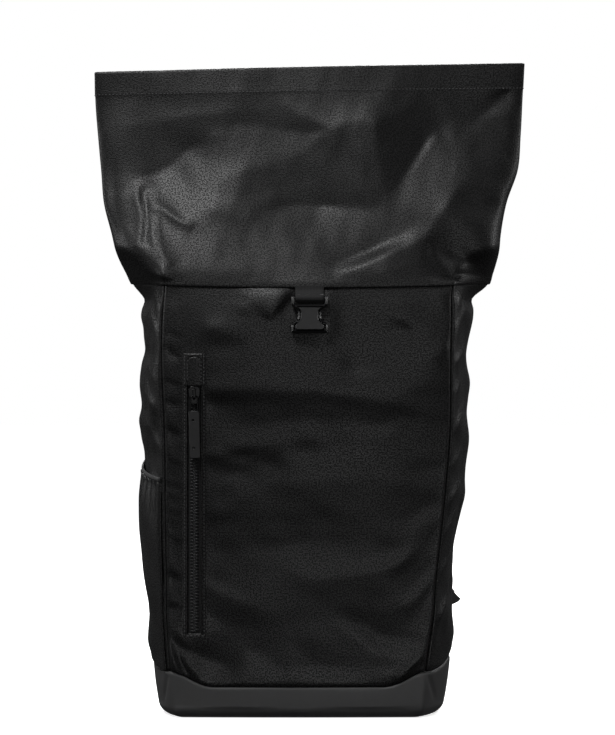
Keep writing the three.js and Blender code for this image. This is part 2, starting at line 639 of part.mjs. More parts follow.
function buildBuckle() {
  const surface = (z) => girth(0.5, z).y;
  const barY = surface(BUCKLE_BAR_Z) - BUCKLE.thick / 2 - BUCKLE_STANDOFF;
  const lowZ = BUCKLE_BAR_Z + BUCKLE_OUTLINE.bottom;
  const lowY = surface(lowZ) - BUCKLE.thick / 2 - BUCKLE_STANDOFF;
  const tilt = Math.atan2(barY - lowY, -BUCKLE_OUTLINE.bottom);
  const socket = addPart("buckle_socket", closedSkin(socketGeometry()), plastic);
  socket.position.set(BUCKLE_X, barY, BUCKLE_BAR_Z);
  socket.rotation.x = -tilt;
  const backEdge = barY - surface(collarSeam(0.5) - COLLAR_LAP) + LAP_CLEAR;
  const tab = addPart("buckle_tab", closedSkin(tabGeometry(backEdge)), webbing);
  tab.position.set(BUCKLE_X, barY, BUCKLE_BAR_Z);
}

// A flat webbing end folded round a bar: a long leg behind, the folded end in front, both downwards.
function hairpin(width, radius, longLeg, shortLeg) {
  const outer = radius + WEBBING;
  const profile = new THREE.Shape();
  profile.moveTo(-outer, -longLeg);
  profile.lineTo(-radius, -longLeg);
  profile.lineTo(-radius, 0);
  profile.absarc(0, 0, radius, Math.PI, 0, true);
  profile.lineTo(radius, -shortLeg);
  profile.lineTo(outer, -shortLeg);
  profile.lineTo(outer, 0);
  profile.absarc(0, 0, outer, 0, Math.PI, false);
  profile.closePath();
  return extrudeAcross(profile, width, 8);
}

const backFace = (x, z) => {
  const [right, left] = [girth(BACK, z).x, girth(LEFT - 1e-6, z).x];
  return girth(BACK + (right - x) / (right - left), z).y;
};

// Wing: a flat triangle sewn into the seam behind a gusset, its tip outwards.
function buildAnchor(hand, side) {
  const stop = hand > 0 ? BACK : LEFT;
  const low = girth(stop, ANCHOR.z - ANCHOR.root / 2);
  const high = girth(stop, ANCHOR.z + ANCHOR.root / 2);
  const tip = new THREE.Vector2(girth(stop, ANCHOR.z).x + hand * ANCHOR.reach, ANCHOR.z - ANCHOR.droop);
  const nose = ANCHOR.nose;
  const outline = [
    new THREE.Vector2(low.x + hand * TRIM_GAP, low.z),
    new THREE.Vector2(tip.x - hand * nose, tip.y - nose),
    tip,
    new THREE.Vector2(tip.x - hand * nose, tip.y + nose),
    new THREE.Vector2(high.x + hand * TRIM_GAP, high.z),
  ];
  const wing = closedSkin(extrudeForward(new THREE.Shape(outline), ANCHOR.cloth));
  const backY = high.y + TRIM_GAP + ANCHOR.cloth;
  addPart(`strap_anchor_${side}`, wing, cloth).position.y = backY;
  return new THREE.Vector3(tip.x - hand * ANCHOR.reach / 2, backY + TRIM_GAP, tip.y + ANCHOR.droop);
}

// Ladder lock: a flat frame with three rails and two slots, drawn about its middle rail.
function adjusterGeometry() {
  const half = ADJUSTER.width / 2;
  const slotHalf = STRAP_WEB_WIDTH / 2 + ADJUSTER.play;
  const rail = ADJUSTER.rail / 2;
  const reach = 3 * rail + ADJUSTER.slot;
  const frame = rectangle(new THREE.Shape(), -half, -reach, half, reach);
  frame.holes.push(rectangle(new THREE.Path(), -slotHalf, rail, slotHalf, rail + ADJUSTER.slot));
  frame.holes.push(rectangle(new THREE.Path(), -slotHalf, -rail - ADJUSTER.slot, slotHalf, -rail));
  return extrudeForward(frame, ADJUSTER.thick).translate(0, ADJUSTER.thick / 2, 0);
}

// One side of the harness: padded strap, ladder lock, and the webbing down to the anchor.
function buildShoulderStrap(hand, side) {
  const awayFromBag = new THREE.Vector3(0, 1, 0);
  const seat = buildAnchor(hand, side);
  const bend = Math.hypot(ADJUSTER.thick, ADJUSTER.rail) / 2 + SEAM_GAP;
  const foot = seat.clone().addScaledVector(awayFromBag, bend + WEBBING);
  const top = new THREE.Vector3(BACK_MIDDLE + hand * STRAP_SPREAD, 0, STRAP_TOP_Z);
  top.y = backFace(BACK_MIDDLE + hand * (STRAP_SPREAD - STRAP_WIDTH / 2), STRAP_TOP_Z) + TRIM_GAP;
  const end = new THREE.Vector3(BACK_MIDDLE + hand * STRAP_END.x, top.y + STRAP_END.stand, STRAP_END.z);
  const run = new THREE.Vector3().subVectors(foot, end);
  const down = run.clone().normalize();
  const up = down.clone().negate();
  const toBag = awayFromBag.clone().negate().projectOnPlane(up).normalize();

  const padEnd = end.clone().addScaledVector(toBag, STRAP_PAD_EDGE / 2);
  const { out, inward, share } = STRAP_BOW;
  const path = new THREE.CubicBezierCurve3(
    top,
    new THREE.Vector3(top.x - hand * inward, top.y + out, lerp(top.z, end.z, share)),
    padEnd.clone().addScaledVector(up, STRAP_LEAD),
    padEnd,
  );
  const widthAt = (v) => lerp(STRAP_WIDTH, STRAP_END_WIDTH, smoothstep(v, STRAP_TAPER, 1));
  const padAt = (u, v) => lerp(STRAP_PAD_EDGE, STRAP_PAD, padShare(u, v, STRAP_PAD_SOFT));
  addPart(`shoulder_strap_${side}`, ribbon(path, 14, 6, awayFromBag, widthAt, padAt), padMesh);

  const lock = new THREE.Group();
  const lockHalf = 1.5 * ADJUSTER.rail + ADJUSTER.slot;
  const drop = lockHalf + SEAM_GAP;
  lock.position.copy(end).addScaledVector(down, drop);
  const across = new THREE.Vector3().crossVectors(toBag, up);
  lock.quaternion.setFromRotationMatrix(new THREE.Matrix4().makeBasis(across, toBag, up));
  bag.add(lock);
  addPart(`strap_adjuster_${side}`, closedSkin(adjusterGeometry()), plastic, lock);
  const web = hairpin(STRAP_WEB_WIDTH, bend, run.length() - drop, TAIL_LENGTH);
  addPart(`strap_webbing_${side}`, closedSkin(web), webbing, lock);
}

// Grab handle: a flat strap that bows out from the top of the back panel.
function buildHandle() {
  const stops = 9;
  const points = [];
  for (let k = 0; k < stops; k += 1) {
    const t = k / (stops - 1);
    const x = BACK_MIDDLE + (t - 0.5) * HANDLE.span;
    const bow = HANDLE.bow * (1 - Math.cos(2 * Math.PI * t)) / 2;
    points.push(new THREE.Vector3(x, backFace(BACK_MIDDLE, HANDLE.z) + SEAM_GAP + bow, HANDLE.z));
  }
  const path = new THREE.CatmullRomCurve3(points);
  const out = new THREE.Vector3(0, 1, 0);
  const strap = ribbon(path, 16, 1, out, () => STRAP_WEB_WIDTH, () => HANDLE.cloth);
  addPart("haul_handle", strap, webbing);
}

// Plug, drawn about the bar that the closure strap folds round, prongs upwards on the page.
function plugGeometry() {
  const { half, bar, slot, collar, prong, tongue, armIn, armOut } = PLUG;
  const base = bar + slot + collar;
  const outline = new THREE.Shape([
    new THREE.Vector2(-half, -bar),
    new THREE.Vector2(half, -bar),
    new THREE.Vector2(half, base),
    new THREE.Vector2(armOut, base),
    new THREE.Vector2(armOut, base + prong),
    new THREE.Vector2(armIn, base + prong),
    new THREE.Vector2(armIn, base),
    new THREE.Vector2(tongue, base),
    new THREE.Vector2(tongue, base + prong),
    new THREE.Vector2(-tongue, base + prong),
    new THREE.Vector2(-tongue, base),
    new THREE.Vector2(-armIn, base),
    new THREE.Vector2(-armIn, base + prong),
    new THREE.Vector2(-armOut, base + prong),
    new THREE.Vector2(-armOut, base),
    new THREE.Vector2(-half, base),
  ]);
  const slotHalf = BUCKLE_BAR.slotWidth / 2;
  outline.holes.push(rectangle(new THREE.Path(), -slotHalf, bar, slotHalf, bar + slot));
  return extrudeForward(outline, PLUG.thick).translate(0, PLUG.thick / 2, 0);
}

// Closure strap: sewn flat on the back panel at its top, hanging free, with the plug on its folded end.
function buildClosure() {
  const bend = Math.hypot(PLUG.thick / 2, PLUG.bar) + SEAM_GAP;
  const closure = new THREE.Group();
  const face = backFace(BACK_MIDDLE, CLOSURE_TOP_Z) + SEAM_GAP;
  closure.position.set(BACK_MIDDLE, face + bend + WEBBING, CLOSURE_TOP_Z - CLOSURE_LENGTH);
  closure.rotation.x = Math.PI;
  bag.add(closure);
  const strap = hairpin(CLOSURE_WIDTH, bend, CLOSURE_LENGTH, CLOSURE_FOLD);
  addPart("closure_strap", closedSkin(strap), webbing, closure);
  addPart("buckle_plug", closedSkin(plugGeometry()), plastic, closure);
}

buildFrontPanel();
buildSidesAndBack();
buildBoot();
buildCollar();
buildSidePocket();
buildZip();
buildSliderAndPull();
buildBuckle();
buildShoulderStrap(1, "right");
buildShoulderStrap(-1, "left");
buildHandle();
buildClosure();

export default bag;
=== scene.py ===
# %% [markdown]
# # A roll-top backpack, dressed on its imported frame
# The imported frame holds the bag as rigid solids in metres: +Z is up, the front looks along -Y, and the
# origin is the middle of the base's underside. Blender never moves those solids. This lesson hides them
# one by one and puts sewn cloth, padding, webbing, a zip and buckles with their finishes in their place.

import math
from collections import namedtuple

import bmesh
import bpy
import numpy as np
from mathutils import Matrix, Vector


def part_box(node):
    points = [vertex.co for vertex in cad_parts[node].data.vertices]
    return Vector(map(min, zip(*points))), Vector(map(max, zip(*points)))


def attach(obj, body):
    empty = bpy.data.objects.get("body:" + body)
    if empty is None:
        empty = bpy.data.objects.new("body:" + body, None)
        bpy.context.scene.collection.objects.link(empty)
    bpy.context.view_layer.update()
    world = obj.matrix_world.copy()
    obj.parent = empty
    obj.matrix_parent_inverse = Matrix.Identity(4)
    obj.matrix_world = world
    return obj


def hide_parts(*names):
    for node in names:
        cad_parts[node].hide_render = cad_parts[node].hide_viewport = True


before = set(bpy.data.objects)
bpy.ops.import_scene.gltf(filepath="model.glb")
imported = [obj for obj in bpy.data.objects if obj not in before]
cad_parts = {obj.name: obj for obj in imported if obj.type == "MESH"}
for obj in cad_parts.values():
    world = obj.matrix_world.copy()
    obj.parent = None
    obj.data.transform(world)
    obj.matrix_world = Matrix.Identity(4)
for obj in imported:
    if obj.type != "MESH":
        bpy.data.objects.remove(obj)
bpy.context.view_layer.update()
scene = bpy.context.scene
MM = 0.001

# %% [markdown]
# ## Camera
# The bag is seen straight from the front and from far away, so that it hardly tapers. One pixel covers
# 1.05 mm at the front panel. A lens follows from that: sensor height over focal length equals picture
# height over distance.

# %% Camera
IMAGE_HEIGHT = 735
MM_PER_PIXEL = 1.05
VIEW_DISTANCE = 3.0
FRONT_PLANE = -0.075
EYE = (0.0058, FRONT_PLANE - VIEW_DISTANCE, 0.369)

lens = bpy.data.cameras.new("front_camera")
lens.sensor_fit = "VERTICAL"
lens.sensor_height = 36
lens.lens = lens.sensor_height * VIEW_DISTANCE / (IMAGE_HEIGHT * MM_PER_PIXEL * MM)
camera = bpy.data.objects.new("front_camera", lens)
camera.location = EYE
camera.rotation_euler = (math.pi / 2, 0, 0)
scene.collection.objects.link(camera)
scene.camera = camera
print("focal length", round(lens.lens, 1), "mm")

# %% [markdown]
# ## Shader maths as expressions
# A material is a graph of nodes. Written link by link it is hard to read, so a small class wraps a socket
# and overloads the operators: `1 - mask * 0.3` adds its Math nodes by itself. Every other node comes from
# one method, `node`, that takes the node's type, its settings and the values or links of its sockets.


# %% Values
class Value:
    """One output of a node, which takes part in sums and products as a number does."""

    def __init__(self, graph, socket):
        self.graph = graph
        self.socket = socket

    def maths(self, operation, first, second):
        return self.graph.node("ShaderNodeMath", {"operation": operation}, {0: first, 1: second})

    def __add__(self, other):
        return self.maths("ADD", self, other)

    def __radd__(self, other):
        return self.maths("ADD", other, self)

    def __sub__(self, other):
        return self.maths("SUBTRACT", self, other)

    def __rsub__(self, other):
        return self.maths("SUBTRACT", other, self)

    def __mul__(self, other):
        return self.maths("MULTIPLY", self, other)

    def __rmul__(self, other):
        return self.maths("MULTIPLY", other, self)


# %% Graphs and finishes
class Graph:
    """A node tree that nodes are added to."""

    def __init__(self, tree):
        self.tree = tree

    def feed(self, socket, value):
        if isinstance(value, Value):
            self.tree.links.new(value.socket, socket)
        else:
            socket.default_value = value

    def node(self, kind, settings=None, sockets=None, output=0):
        made = self.tree.nodes.new(kind)
        for key, value in (settings or {}).items():
            setattr(made, key, value)
        for key, value in (sockets or {}).items():
            self.feed(made.inputs[key], value)
        return Value(self, made.outputs[output])


class Finish(Graph):
    """One material: its node tree, and a Principled shader whose constants are set on its own sockets."""

    def __init__(self, name, **constants):
        self.material = bpy.data.materials.new(name)
        self.material.use_nodes = True
        super().__init__(self.material.node_tree)
        self.shader = self.tree.nodes["Principled BSDF"]
        for socket, value in constants.items():
            self.shader.inputs[socket.replace("_", " ")].default_value = value

    def place(self):
        """Where a point is on the object, in metres."""
        return self.node("ShaderNodeTexCoord", None, None, output=3)

    def flat(self):
        """Where a point is on the flat cloth, in metres."""
        return self.node("ShaderNodeUVMap", {"uv_map": "flat"})

    def parts(self, vector):
        """The first two parts of a vector."""
        return [self.node("ShaderNodeSeparateXYZ", None, {0: vector}, output=k) for k in (0, 1)]

    def sine(self, value):
        return self.node("ShaderNodeMath", {"operation": "SINE"}, {0: value})

    def noise(self, where, scale, detail=2.0, roughness=0.5):
        sockets = {"Vector": where, "Scale": scale, "Detail": detail, "Roughness": roughness}
        return self.node("ShaderNodeTexNoise", None, sockets)

    def mix(self, share, dark, light):
        sockets = {0: share, 6: (*dark, 1), 7: (*light, 1)}
        return self.node("ShaderNodeMix", {"data_type": "RGBA"}, sockets, output=2)

    def bump(self, height, strength, distance, under=None):
        sockets = {"Height": height, "Strength": strength, "Distance": distance}
        if under is not None:
            sockets["Normal"] = under
        return self.node("ShaderNodeBump", None, sockets)

    def surface(self, **links):
        for socket, value in links.items():
            self.feed(self.shader.inputs[socket.replace("_", " ")], value)
        return self.material


print("finish toolkit ready")

# %% [markdown]
# ## Floor and light
# The floor is pale and plain, and it also glows: painted light, dimmer near the bag, where the lamps light it
# and cast the bag's shadow, and white further off. Being hidden from diffuse and glossy rays, it lights
# nothing.
# The main light is a soft box high in front and a little to the left, so that
# cloth that faces upwards shines and cloth that faces downwards stays black. A weak box in front opens the
# shade a little. Narrow beams from both sides and a low one in front draw the outer edges and the boot.
# Two boxes high behind the sides and one behind the bag are for the views from there. The sky is
# white to the camera but dim as a light, which keeps the shade in the folds.

# %% Floor
FLOOR_SIZE = 30.0
floor_mesh = bpy.data.meshes.new("floor")
half = FLOOR_SIZE / 2
floor_corners = [(-half, -half, 0), (half, -half, 0), (half, half, 0), (-half, half, 0)]
floor_mesh.from_pydata(floor_corners, [], [(0, 1, 2, 3)])
floor = bpy.data.objects.new("floor", floor_mesh)
scene.collection.objects.link(floor)
floor.visible_diffuse = False
floor.visible_glossy = False

floor_finish = Finish("pale_floor", Roughness=0.8, Specular_IOR_Level=0.1, Emission_Strength=1.0)
floor_place = floor_finish.place()
floor_cloud = floor_finish.noise(floor_place, 3.0)
floor_colour = floor_finish.mix(floor_cloud, (0.86, 0.86, 0.86), (0.9, 0.9, 0.9))
# Painted light: the floor glows, dimmer within 0.2 m of the bag and fully white beyond 0.6 m.
from_bag = floor_finish.node("ShaderNodeVectorMath", {"operation": "LENGTH"}, {0: floor_place}, output=1)
fade = {"Value": from_bag, "From Min": 0.2, "From Max": 0.6}
far_share = floor_finish.node("ShaderNodeMapRange", None, fade)
floor_glow = floor_finish.mix(far_share, (0.75, 0.75, 0.75), (1, 1, 1))
floor_mesh.materials.append(floor_finish.surface(Base_Color=floor_colour, Emission_Color=floor_glow))
print("floor", FLOOR_SIZE, "m wide")

# %% Soft boxes
Lamp = namedtuple("Lamp", "place aim size spread watts")
LAMPS = {
    "key_box": Lamp((-0.9, -1.45, 2.95), (0, 0, 0.4), (1.0, 1.0), 180, 47.5),
    "fill_box": Lamp((0.5, -3.6, 0.5), (0, 0, 0.4), (1.6, 1.6), 180, 12.0),
    "left_box": Lamp((-2.3, 0.1, 1.0), (0, 0, 0.18), (0.4, 0.4), 36, 0.36),
    "right_box": Lamp((2.3, 0.1, 1.0), (0, 0, 0.18), (0.4, 0.4), 36, 0.36),
    "low_box": Lamp((0, -1.7, 0.06), (0, 0, -0.02), (1.0, 0.06), 20, 0.036),
    "left_top": Lamp((-1.7, 1.3, 2.6), (0, 0, 0.35), (1.0, 1.0), 180, 36.0),
    "right_top": Lamp((1.7, 1.3, 2.6), (0, 0, 0.35), (1.0, 1.0), 180, 36.0),
    "back_box": Lamp((0.4, 2.6, 2.3), (0, 0, 0.35), (1.6, 1.2), 180, 60.0),
}

for name, lamp in LAMPS.items():
    light = bpy.data.lights.new(name, "AREA")
    light.shape = "RECTANGLE"
    light.size, light.size_y = lamp.size
    light.spread = math.radians(lamp.spread)
    light.energy = lamp.watts
    light_object = bpy.data.objects.new(name, light)
    light_object.location = lamp.place
    towards = Vector(lamp.aim) - Vector(lamp.place)
    light_object.rotation_euler = towards.to_track_quat("-Z", "Y").to_euler()
    scene.collection.objects.link(light_object)
print("lamps:", len(LAMPS))

# %% Sky
SKY_AS_LIGHT = 0.04
scene.world = bpy.data.worlds.new("studio")
scene.world.use_nodes = True
sky = Graph(scene.world.node_tree)
backdrop = sky.tree.nodes["Background"]
seen_by_camera = sky.node("ShaderNodeLightPath")
sky.feed(backdrop.inputs["Color"], (1, 1, 1, 1))
sky.feed(backdrop.inputs["Strength"], seen_by_camera * (1 - SKY_AS_LIGHT) + SKY_AS_LIGHT)
scene.view_settings.view_transform = "Standard"
print("sky as a light:", SKY_AS_LIGHT)

# %% [markdown]
# ## Black cloth
# The body is a dense plain-weave polyester: nearly black, with a dull shine that shows each fold. A picture
# of cloth could be wrapped round it, but then the threads stretch with the mesh. Here the threads are
# two sine waves across the cloth's own flat coordinates, which are in metres, so a thread is as
# wide on the collar as on the base. The shine is a rough coat over black, as strong as the threads let it
# be: their backs shine and the gaps don't. One noise makes thick and thin places in the yarn, the
# slubs, a slow one clouds the tone, and a third crinkles the surface.

# %% Cloth finish
THREAD = 0.00125
SLUB_SCALE, CLOUD_SCALE, CRINKLE_SCALE = 640.0, 22.0, 60.0
WEAVE_DEPTH, SLUB_DEPTH, CRINKLE_DEPTH = 0.0001, 0.0006, 0.00015


def woven(finish, thread):
    """Height of a plain weave over the cloth's flat coordinates, from 0 to 1."""
    flat = finish.flat()
    across, along = finish.parts(flat)
    turn = math.pi / thread
    return finish.sine(across * turn) * finish.sine(along * turn) * 0.5 + 0.5, flat


def cloth_finish(name, dark, light, roughness):
    finish = Finish(name, Specular_IOR_Level=0.25, Coat_Roughness=0.42, Coat_IOR=1.5)
    weave, flat = woven(finish, THREAD)
    slub = finish.noise(flat, SLUB_SCALE, 0.0)
    grain = finish.node("ShaderNodeMapRange", None, {"Value": slub, "From Min": 0.37, "From Max": 0.63})
    cloud = finish.noise(flat, CLOUD_SCALE, 3.0)
    tone = weave * 0.2 + grain * 0.6 + cloud * 0.2
    crinkle = finish.bump(finish.noise(flat, CRINKLE_SCALE, 3.0, 0.5), 1.0, CRINKLE_DEPTH)
    uneven = finish.bump(slub, 1.0, SLUB_DEPTH, under=crinkle)
    threads = finish.bump(weave, 1.0, WEAVE_DEPTH, under=uneven)
    return finish.surface(
        Base_Color=finish.mix(tone, dark, light),
        Roughness=roughness + slub * 0.16 - cloud * 0.06,
        Coat_Weight=grain * 0.8 + weave * 0.2,
        Normal=threads,
    )


BLACK_CLOTH = cloth_finish("black_cloth", (0.0005, 0.0005, 0.0006), (0.006, 0.006, 0.0064), 0.5)
LINING_CLOTH = cloth_finish("lining_cloth", (0.01, 0.01, 0.011), (0.024, 0.024, 0.025), 0.66)
print("cloth finishes:", BLACK_CLOTH.name, LINING_CLOTH.name)

# %% [markdown]
# ## The bag's girth
# The whole body is one lofted shape. A short table gives the outline at a few heights: where the sides,
# the front seams and the front and back faces are. A smooth curve through each column gives every
# height between. `s` runs once round the bag: 0 to 1 front, 1 to 2 right side, 2 to 3 back, 3 to 4 left.
# The sections keep to the frame's own within a few millimetres, so each cloth piece lies where its solid is.

# %% Section table
Section = namedtuple("Section", "z side_left side_right seam_left seam_right front back crown")
SECTIONS = [
    Section(0, -152, 150, -134, 126, -70, 71, 3),
    Section(33, -157, 156, -137, 129, -71, 72, 4),
    Section(62, -160, 159, -140, 132, -71, 72, 5),
    Section(110, -162, 161, -143, 139, -71, 72, 7),
    Section(140, -162, 159, -143, 141, -71, 72, 8),
    Section(205, -165, 167, -144, 148, -71, 72, 10),
    Section(300, -170, 179, -145, 156, -72, 72, 12),
    Section(380, -172, 177, -148, 157, -73, 72, 10),
    Section(432, -168, 184, -147, 158, -69.5, 72, 7),
    Section(443, -167, 183, -146, 158, -68.5, 72, 6),
    Section(457, -181, 199, -145, 159, -67, 72, 5),
    Section(470, -187, 203, -146, 159, -64, 72, 5),
    Section(485, -193, 206, -147, 160, -58, 72, 6),
    Section(512, -200, 209, -149, 162, -48, 70, 6),
    Section(545, -209, 216, -151, 165, -36, 65, 7),
    Section(580, -213, 229, -152, 167, -21, 57, 8),
    Section(615, -217, 233, -153, 168, -8, 47, 8),
    Section(657, -221, 236, -154, 169, 4, 36, 8),
    Section(692, -222, 238, -154, 169, 8, 28, 8),
]
BODY_TOP, RIM = 457, 692
FRONT, RIGHT, BACK, LEFT = 0, 1, 2, 3
BACK_INSET, BACK_CROWN = 6, 3
SIDE_ROUNDNESS, COLLAR_ROUNDNESS, TIP_POWER = 0.8, 0.6, 0.46
VEE_START, VEE_TIP, VEE_END, FLAT_SIDE = 420, 0.08, 500, 0.5


def lerp(a, b, t):
    return a + (b - a) * t


def smooth(value, low, high):
    t = np.clip((value - low) / (high - low), 0, 1)
    return t * t * (3 - 2 * t)


# %% Heights between the rows
heights = np.array([row.z for row in SECTIONS], float)


def section(column, z):
    values = np.array([getattr(row, column) for row in SECTIONS], float)
    slopes = np.diff(values) / np.diff(heights)
    tangents = np.concatenate([slopes[:1], (slopes[1:] + slopes[:-1]) / 2, slopes[-1:]])
    i = np.clip(np.searchsorted(heights, z, side="right") - 1, 0, len(heights) - 2)
    span = heights[i + 1] - heights[i]
    p = np.clip((z - heights[i]) / span, 0, 1)
    start = (1 + 2 * p) * (1 - p) ** 2 * values[i] + p * (1 - p) ** 2 * span * tangents[i]
    end = p * p * (3 - 2 * p) * values[i + 1] + p * p * (p - 1) * span * tangents[i + 1]
    return start + end


# %% A point of the girth
def tip_power(z):
    """Brings the side edge forwards above the seam, where the collar lies flat."""
    return lerp(1, TIP_POWER, smooth(z, BODY_TOP, VEE_END))


def gusset_shape(from_front, z):
    eased = smooth(z, BODY_TOP, VEE_END)
    w = np.clip(from_front, 0, 1) ** tip_power(z)
    around = np.sin(np.pi * w) ** lerp(SIDE_ROUNDNESS, COLLAR_ROUNDNESS, eased)
    blunt = np.hypot(2 * w - 1, VEE_TIP) - VEE_TIP
    pinched = 1 - blunt / (np.hypot(1, VEE_TIP) - VEE_TIP)
    return lerp(around, pinched, smooth(z, VEE_START, BODY_TOP) * lerp(1, FLAT_SIDE, eased))


def girth(s, z):
    s, z = np.broadcast_arrays(np.asarray(s, float), np.asarray(z, float))
    turn = np.mod(s, 4.0)
    panel = np.floor(turn)
    t = turn - panel
    seam_left, seam_right = section("seam_left", z), section("seam_right", z)
    front, back, crown = section("front", z), section("back", z), section("crown", z)
    rising = smooth(z, BODY_TOP, RIM)
    inset = BACK_INSET * (1 - rising)
    back_left, back_right = seam_left + inset, seam_right - inset
    arch = 1 - (2 * t - 1) ** 2
    right_out = gusset_shape(t, z) * (section("side_right", z) - (seam_right + back_right) / 2)
    left_out = gusset_shape(1 - t, z) * (section("side_left", z) - (seam_left + back_left) / 2)
    faces = [panel == FRONT, panel == RIGHT, panel == BACK]
    x = np.select(
        faces,
        [
            lerp(seam_left, seam_right, t),
            lerp(seam_right, back_right, t) + right_out,
            lerp(back_right, back_left, t),
        ],
        lerp(back_left, seam_left, t) + left_out,
    )
    back_face = back + lerp(BACK_CROWN, crown, rising) * arch
    y = np.select(faces, [front - crown * arch, lerp(front, back, t), back_face], lerp(back, front, t))
    return np.stack([x, y, z], axis=-1)


def outward(s, z, step=0.02):
    along = girth(np.asarray(s) + step, z) - girth(np.asarray(s) - step, z)
    level = np.stack([along[..., 1], -along[..., 0], np.zeros_like(along[..., 0])], axis=-1)
    return level / np.linalg.norm(level, axis=-1, keepdims=True)


print("girth at half height:", np.round(girth(np.array([0.5, 1.5, 2.5, 3.5]), 230), 1).tolist())

# %% [markdown]
# ## Long seams
# Two seams run round the bag: the collar is sewn over the body's top edge, and the body is sewn into
# the coated boot at the bottom. The upper one sags a little in front. The lower one is lowest in front and
# sweeps up to the sides, because the boot is taller there.

# %% Seam heights
SEAM_DIP, SEAM_SIDE_LIFT, COLLAR_LAP = 2.5, 3, 1.2
BOOT_FRONT, BOOT_CORNER, BOOT_SIDE = 33, 49, 61
BOOT_SWEEP_FRONT, BOOT_SWEEP_SIDE = 0.55, 0.5


def panel_share(s):
    turn = np.mod(np.asarray(s, float), 4.0)
    panel = np.floor(turn)
    t = turn - panel
    return panel, t, 1 - (2 * t - 1) ** 2


def collar_seam(s):
    panel, _, arch = panel_share(s)
    side = (panel == RIGHT) | (panel == LEFT)
    return BODY_TOP + arch * np.where(panel == FRONT, -SEAM_DIP, np.where(side, SEAM_SIDE_LIFT, 0))


def boot_seam(s):
    panel, t, arch = panel_share(s)
    front = lerp(BOOT_CORNER, BOOT_FRONT, smooth(arch, 0, BOOT_SWEEP_FRONT))
    from_front = np.where(panel == RIGHT, t, 1 - t)
    side = lerp(BOOT_CORNER, BOOT_SIDE, smooth(from_front, 0, BOOT_SWEEP_SIDE))
    return np.select([panel == FRONT, panel == BACK], [front, np.full_like(t, BOOT_SIDE)], side)


print("boot seam from", boot_seam(0.5), "to", boot_seam(1.9))

# %% [markdown]
# ## Meshes from grids of points
# Almost every soft piece is a sheet: a grid of points with a thickness. `wall` makes a closed shell from
# one grid. It pushes a copy of the grid inwards, turns its faces round, and joins the two along a
# rounded edge. It also stores each point's place on the flat cloth, in metres, for the weave.


# %% Pieces
def place_piece(name, mesh, finishes, replaces=(), body="bag"):
    mesh.polygons.foreach_set("use_smooth", [True] * len(mesh.polygons))
    for finish in finishes:
        mesh.materials.append(finish)
    piece = bpy.data.objects.new(name, mesh)
    scene.collection.objects.link(piece)
    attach(piece, body)
    if replaces:
        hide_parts(*replaces)
    return piece


def mesh_from(name, points, faces, flat):
    mesh = bpy.data.meshes.new(name)
    mesh.from_pydata((np.asarray(points) * MM).tolist(), [], faces)
    layer = mesh.uv_layers.new(name="flat")
    layer.data.foreach_set("uv", (np.asarray(flat, float) * MM).reshape(-1))
    return mesh


# %% Normals and flat coordinates of a grid
def unit(vectors):
    return vectors / np.maximum(np.linalg.norm(vectors, axis=-1, keepdims=True), 1e-9)


def grid_normals(grid, closed):
    across = np.roll(grid, -1, 1) - np.roll(grid, 1, 1) if closed else np.gradient(grid, axis=1)
    return unit(np.cross(across, np.gradient(grid, axis=0)))


def grid_flat(grid, closed):
    ring = np.concatenate([grid, grid[:, :1]], 1) if closed else grid
    across = np.linalg.norm(np.diff(ring, axis=1), axis=-1).mean(0)
    along = np.linalg.norm(np.diff(ring, axis=0), axis=-1).mean(1)
    u = np.concatenate([[0], np.cumsum(across)])
    v = np.concatenate([[0], np.cumsum(along)])
    return np.stack(np.meshgrid(u, v), axis=-1)


# %% A wall of cloth
EDGE_ROUND = 0.45


def edge_paths(rows, columns, closed):
    if closed:
        return [[(0, c) for c in range(columns + 1)], [(rows - 1, c) for c in range(columns, -1, -1)]]
    path = [(0, c) for c in range(columns)]
    path += [(r, columns - 1) for r in range(1, rows)]
    path += [(rows - 1, c) for c in range(columns - 2, -1, -1)]
    path += [(r, 0) for r in range(rows - 2, -1, -1)]
    return [path]


def edge_direction(grid, closed):
    away = np.zeros_like(grid)
    away[0] += unit(grid[0] - grid[1])
    away[-1] += unit(grid[-1] - grid[-2])
    if not closed:
        away[:, 0] += unit(grid[:, 0] - grid[:, 1])
        away[:, -1] += unit(grid[:, -1] - grid[:, -2])
    return unit(away)


def quads_of(values):
    corners = [values[:-1, :-1], values[:-1, 1:], values[1:, 1:], values[1:, :-1]]
    return np.stack(corners, axis=2).reshape(-1, 4, *values.shape[2:])


def strip_of(near, far):
    return np.stack([near[1:], near[:-1], far[:-1], far[1:]], axis=1)


def wall(name, grid, thickness, closed=False, lined=False):
    rows, columns, _ = grid.shape
    thick = np.broadcast_to(np.asarray(thickness, float), (rows, columns))[..., None]
    inner = grid - grid_normals(grid, closed) * thick
    rim = (grid + inner) / 2 + edge_direction(grid, closed) * thick * EDGE_ROUND
    flat = grid_flat(grid, closed)
    count = rows * columns
    index = np.arange(rows)[:, None] * columns + np.arange(columns + closed) % columns
    quads, coords = quads_of(index), quads_of(flat)
    points = [grid.reshape(-1, 3), inner.reshape(-1, 3)]
    faces, uvs = [quads, quads[:, ::-1] + count], [coords, coords[:, ::-1]]
    made = 2 * count
    for path in edge_paths(rows, columns, closed):
        at = np.array(path)
        outer, spot = index[at[:, 0], at[:, 1]], flat[at[:, 0], at[:, 1]]
        edges = len(outer) - 1
        middle = made + np.arange(edges + 1) % edges
        points.append(rim.reshape(-1, 3)[outer[:-1]])
        faces += [strip_of(outer, middle), strip_of(middle, outer + count)]
        uvs += [strip_of(spot, spot)] * 2
        made += edges
    mesh = mesh_from(name, np.concatenate(points), np.concatenate(faces).tolist(), np.concatenate(uvs))
    if lined:
        layer = np.zeros(len(mesh.polygons), int)
        layer[len(quads):2 * len(quads)] = 1
        mesh.polygons.foreach_set("material_index", layer)
    return mesh


print("grid tools ready")

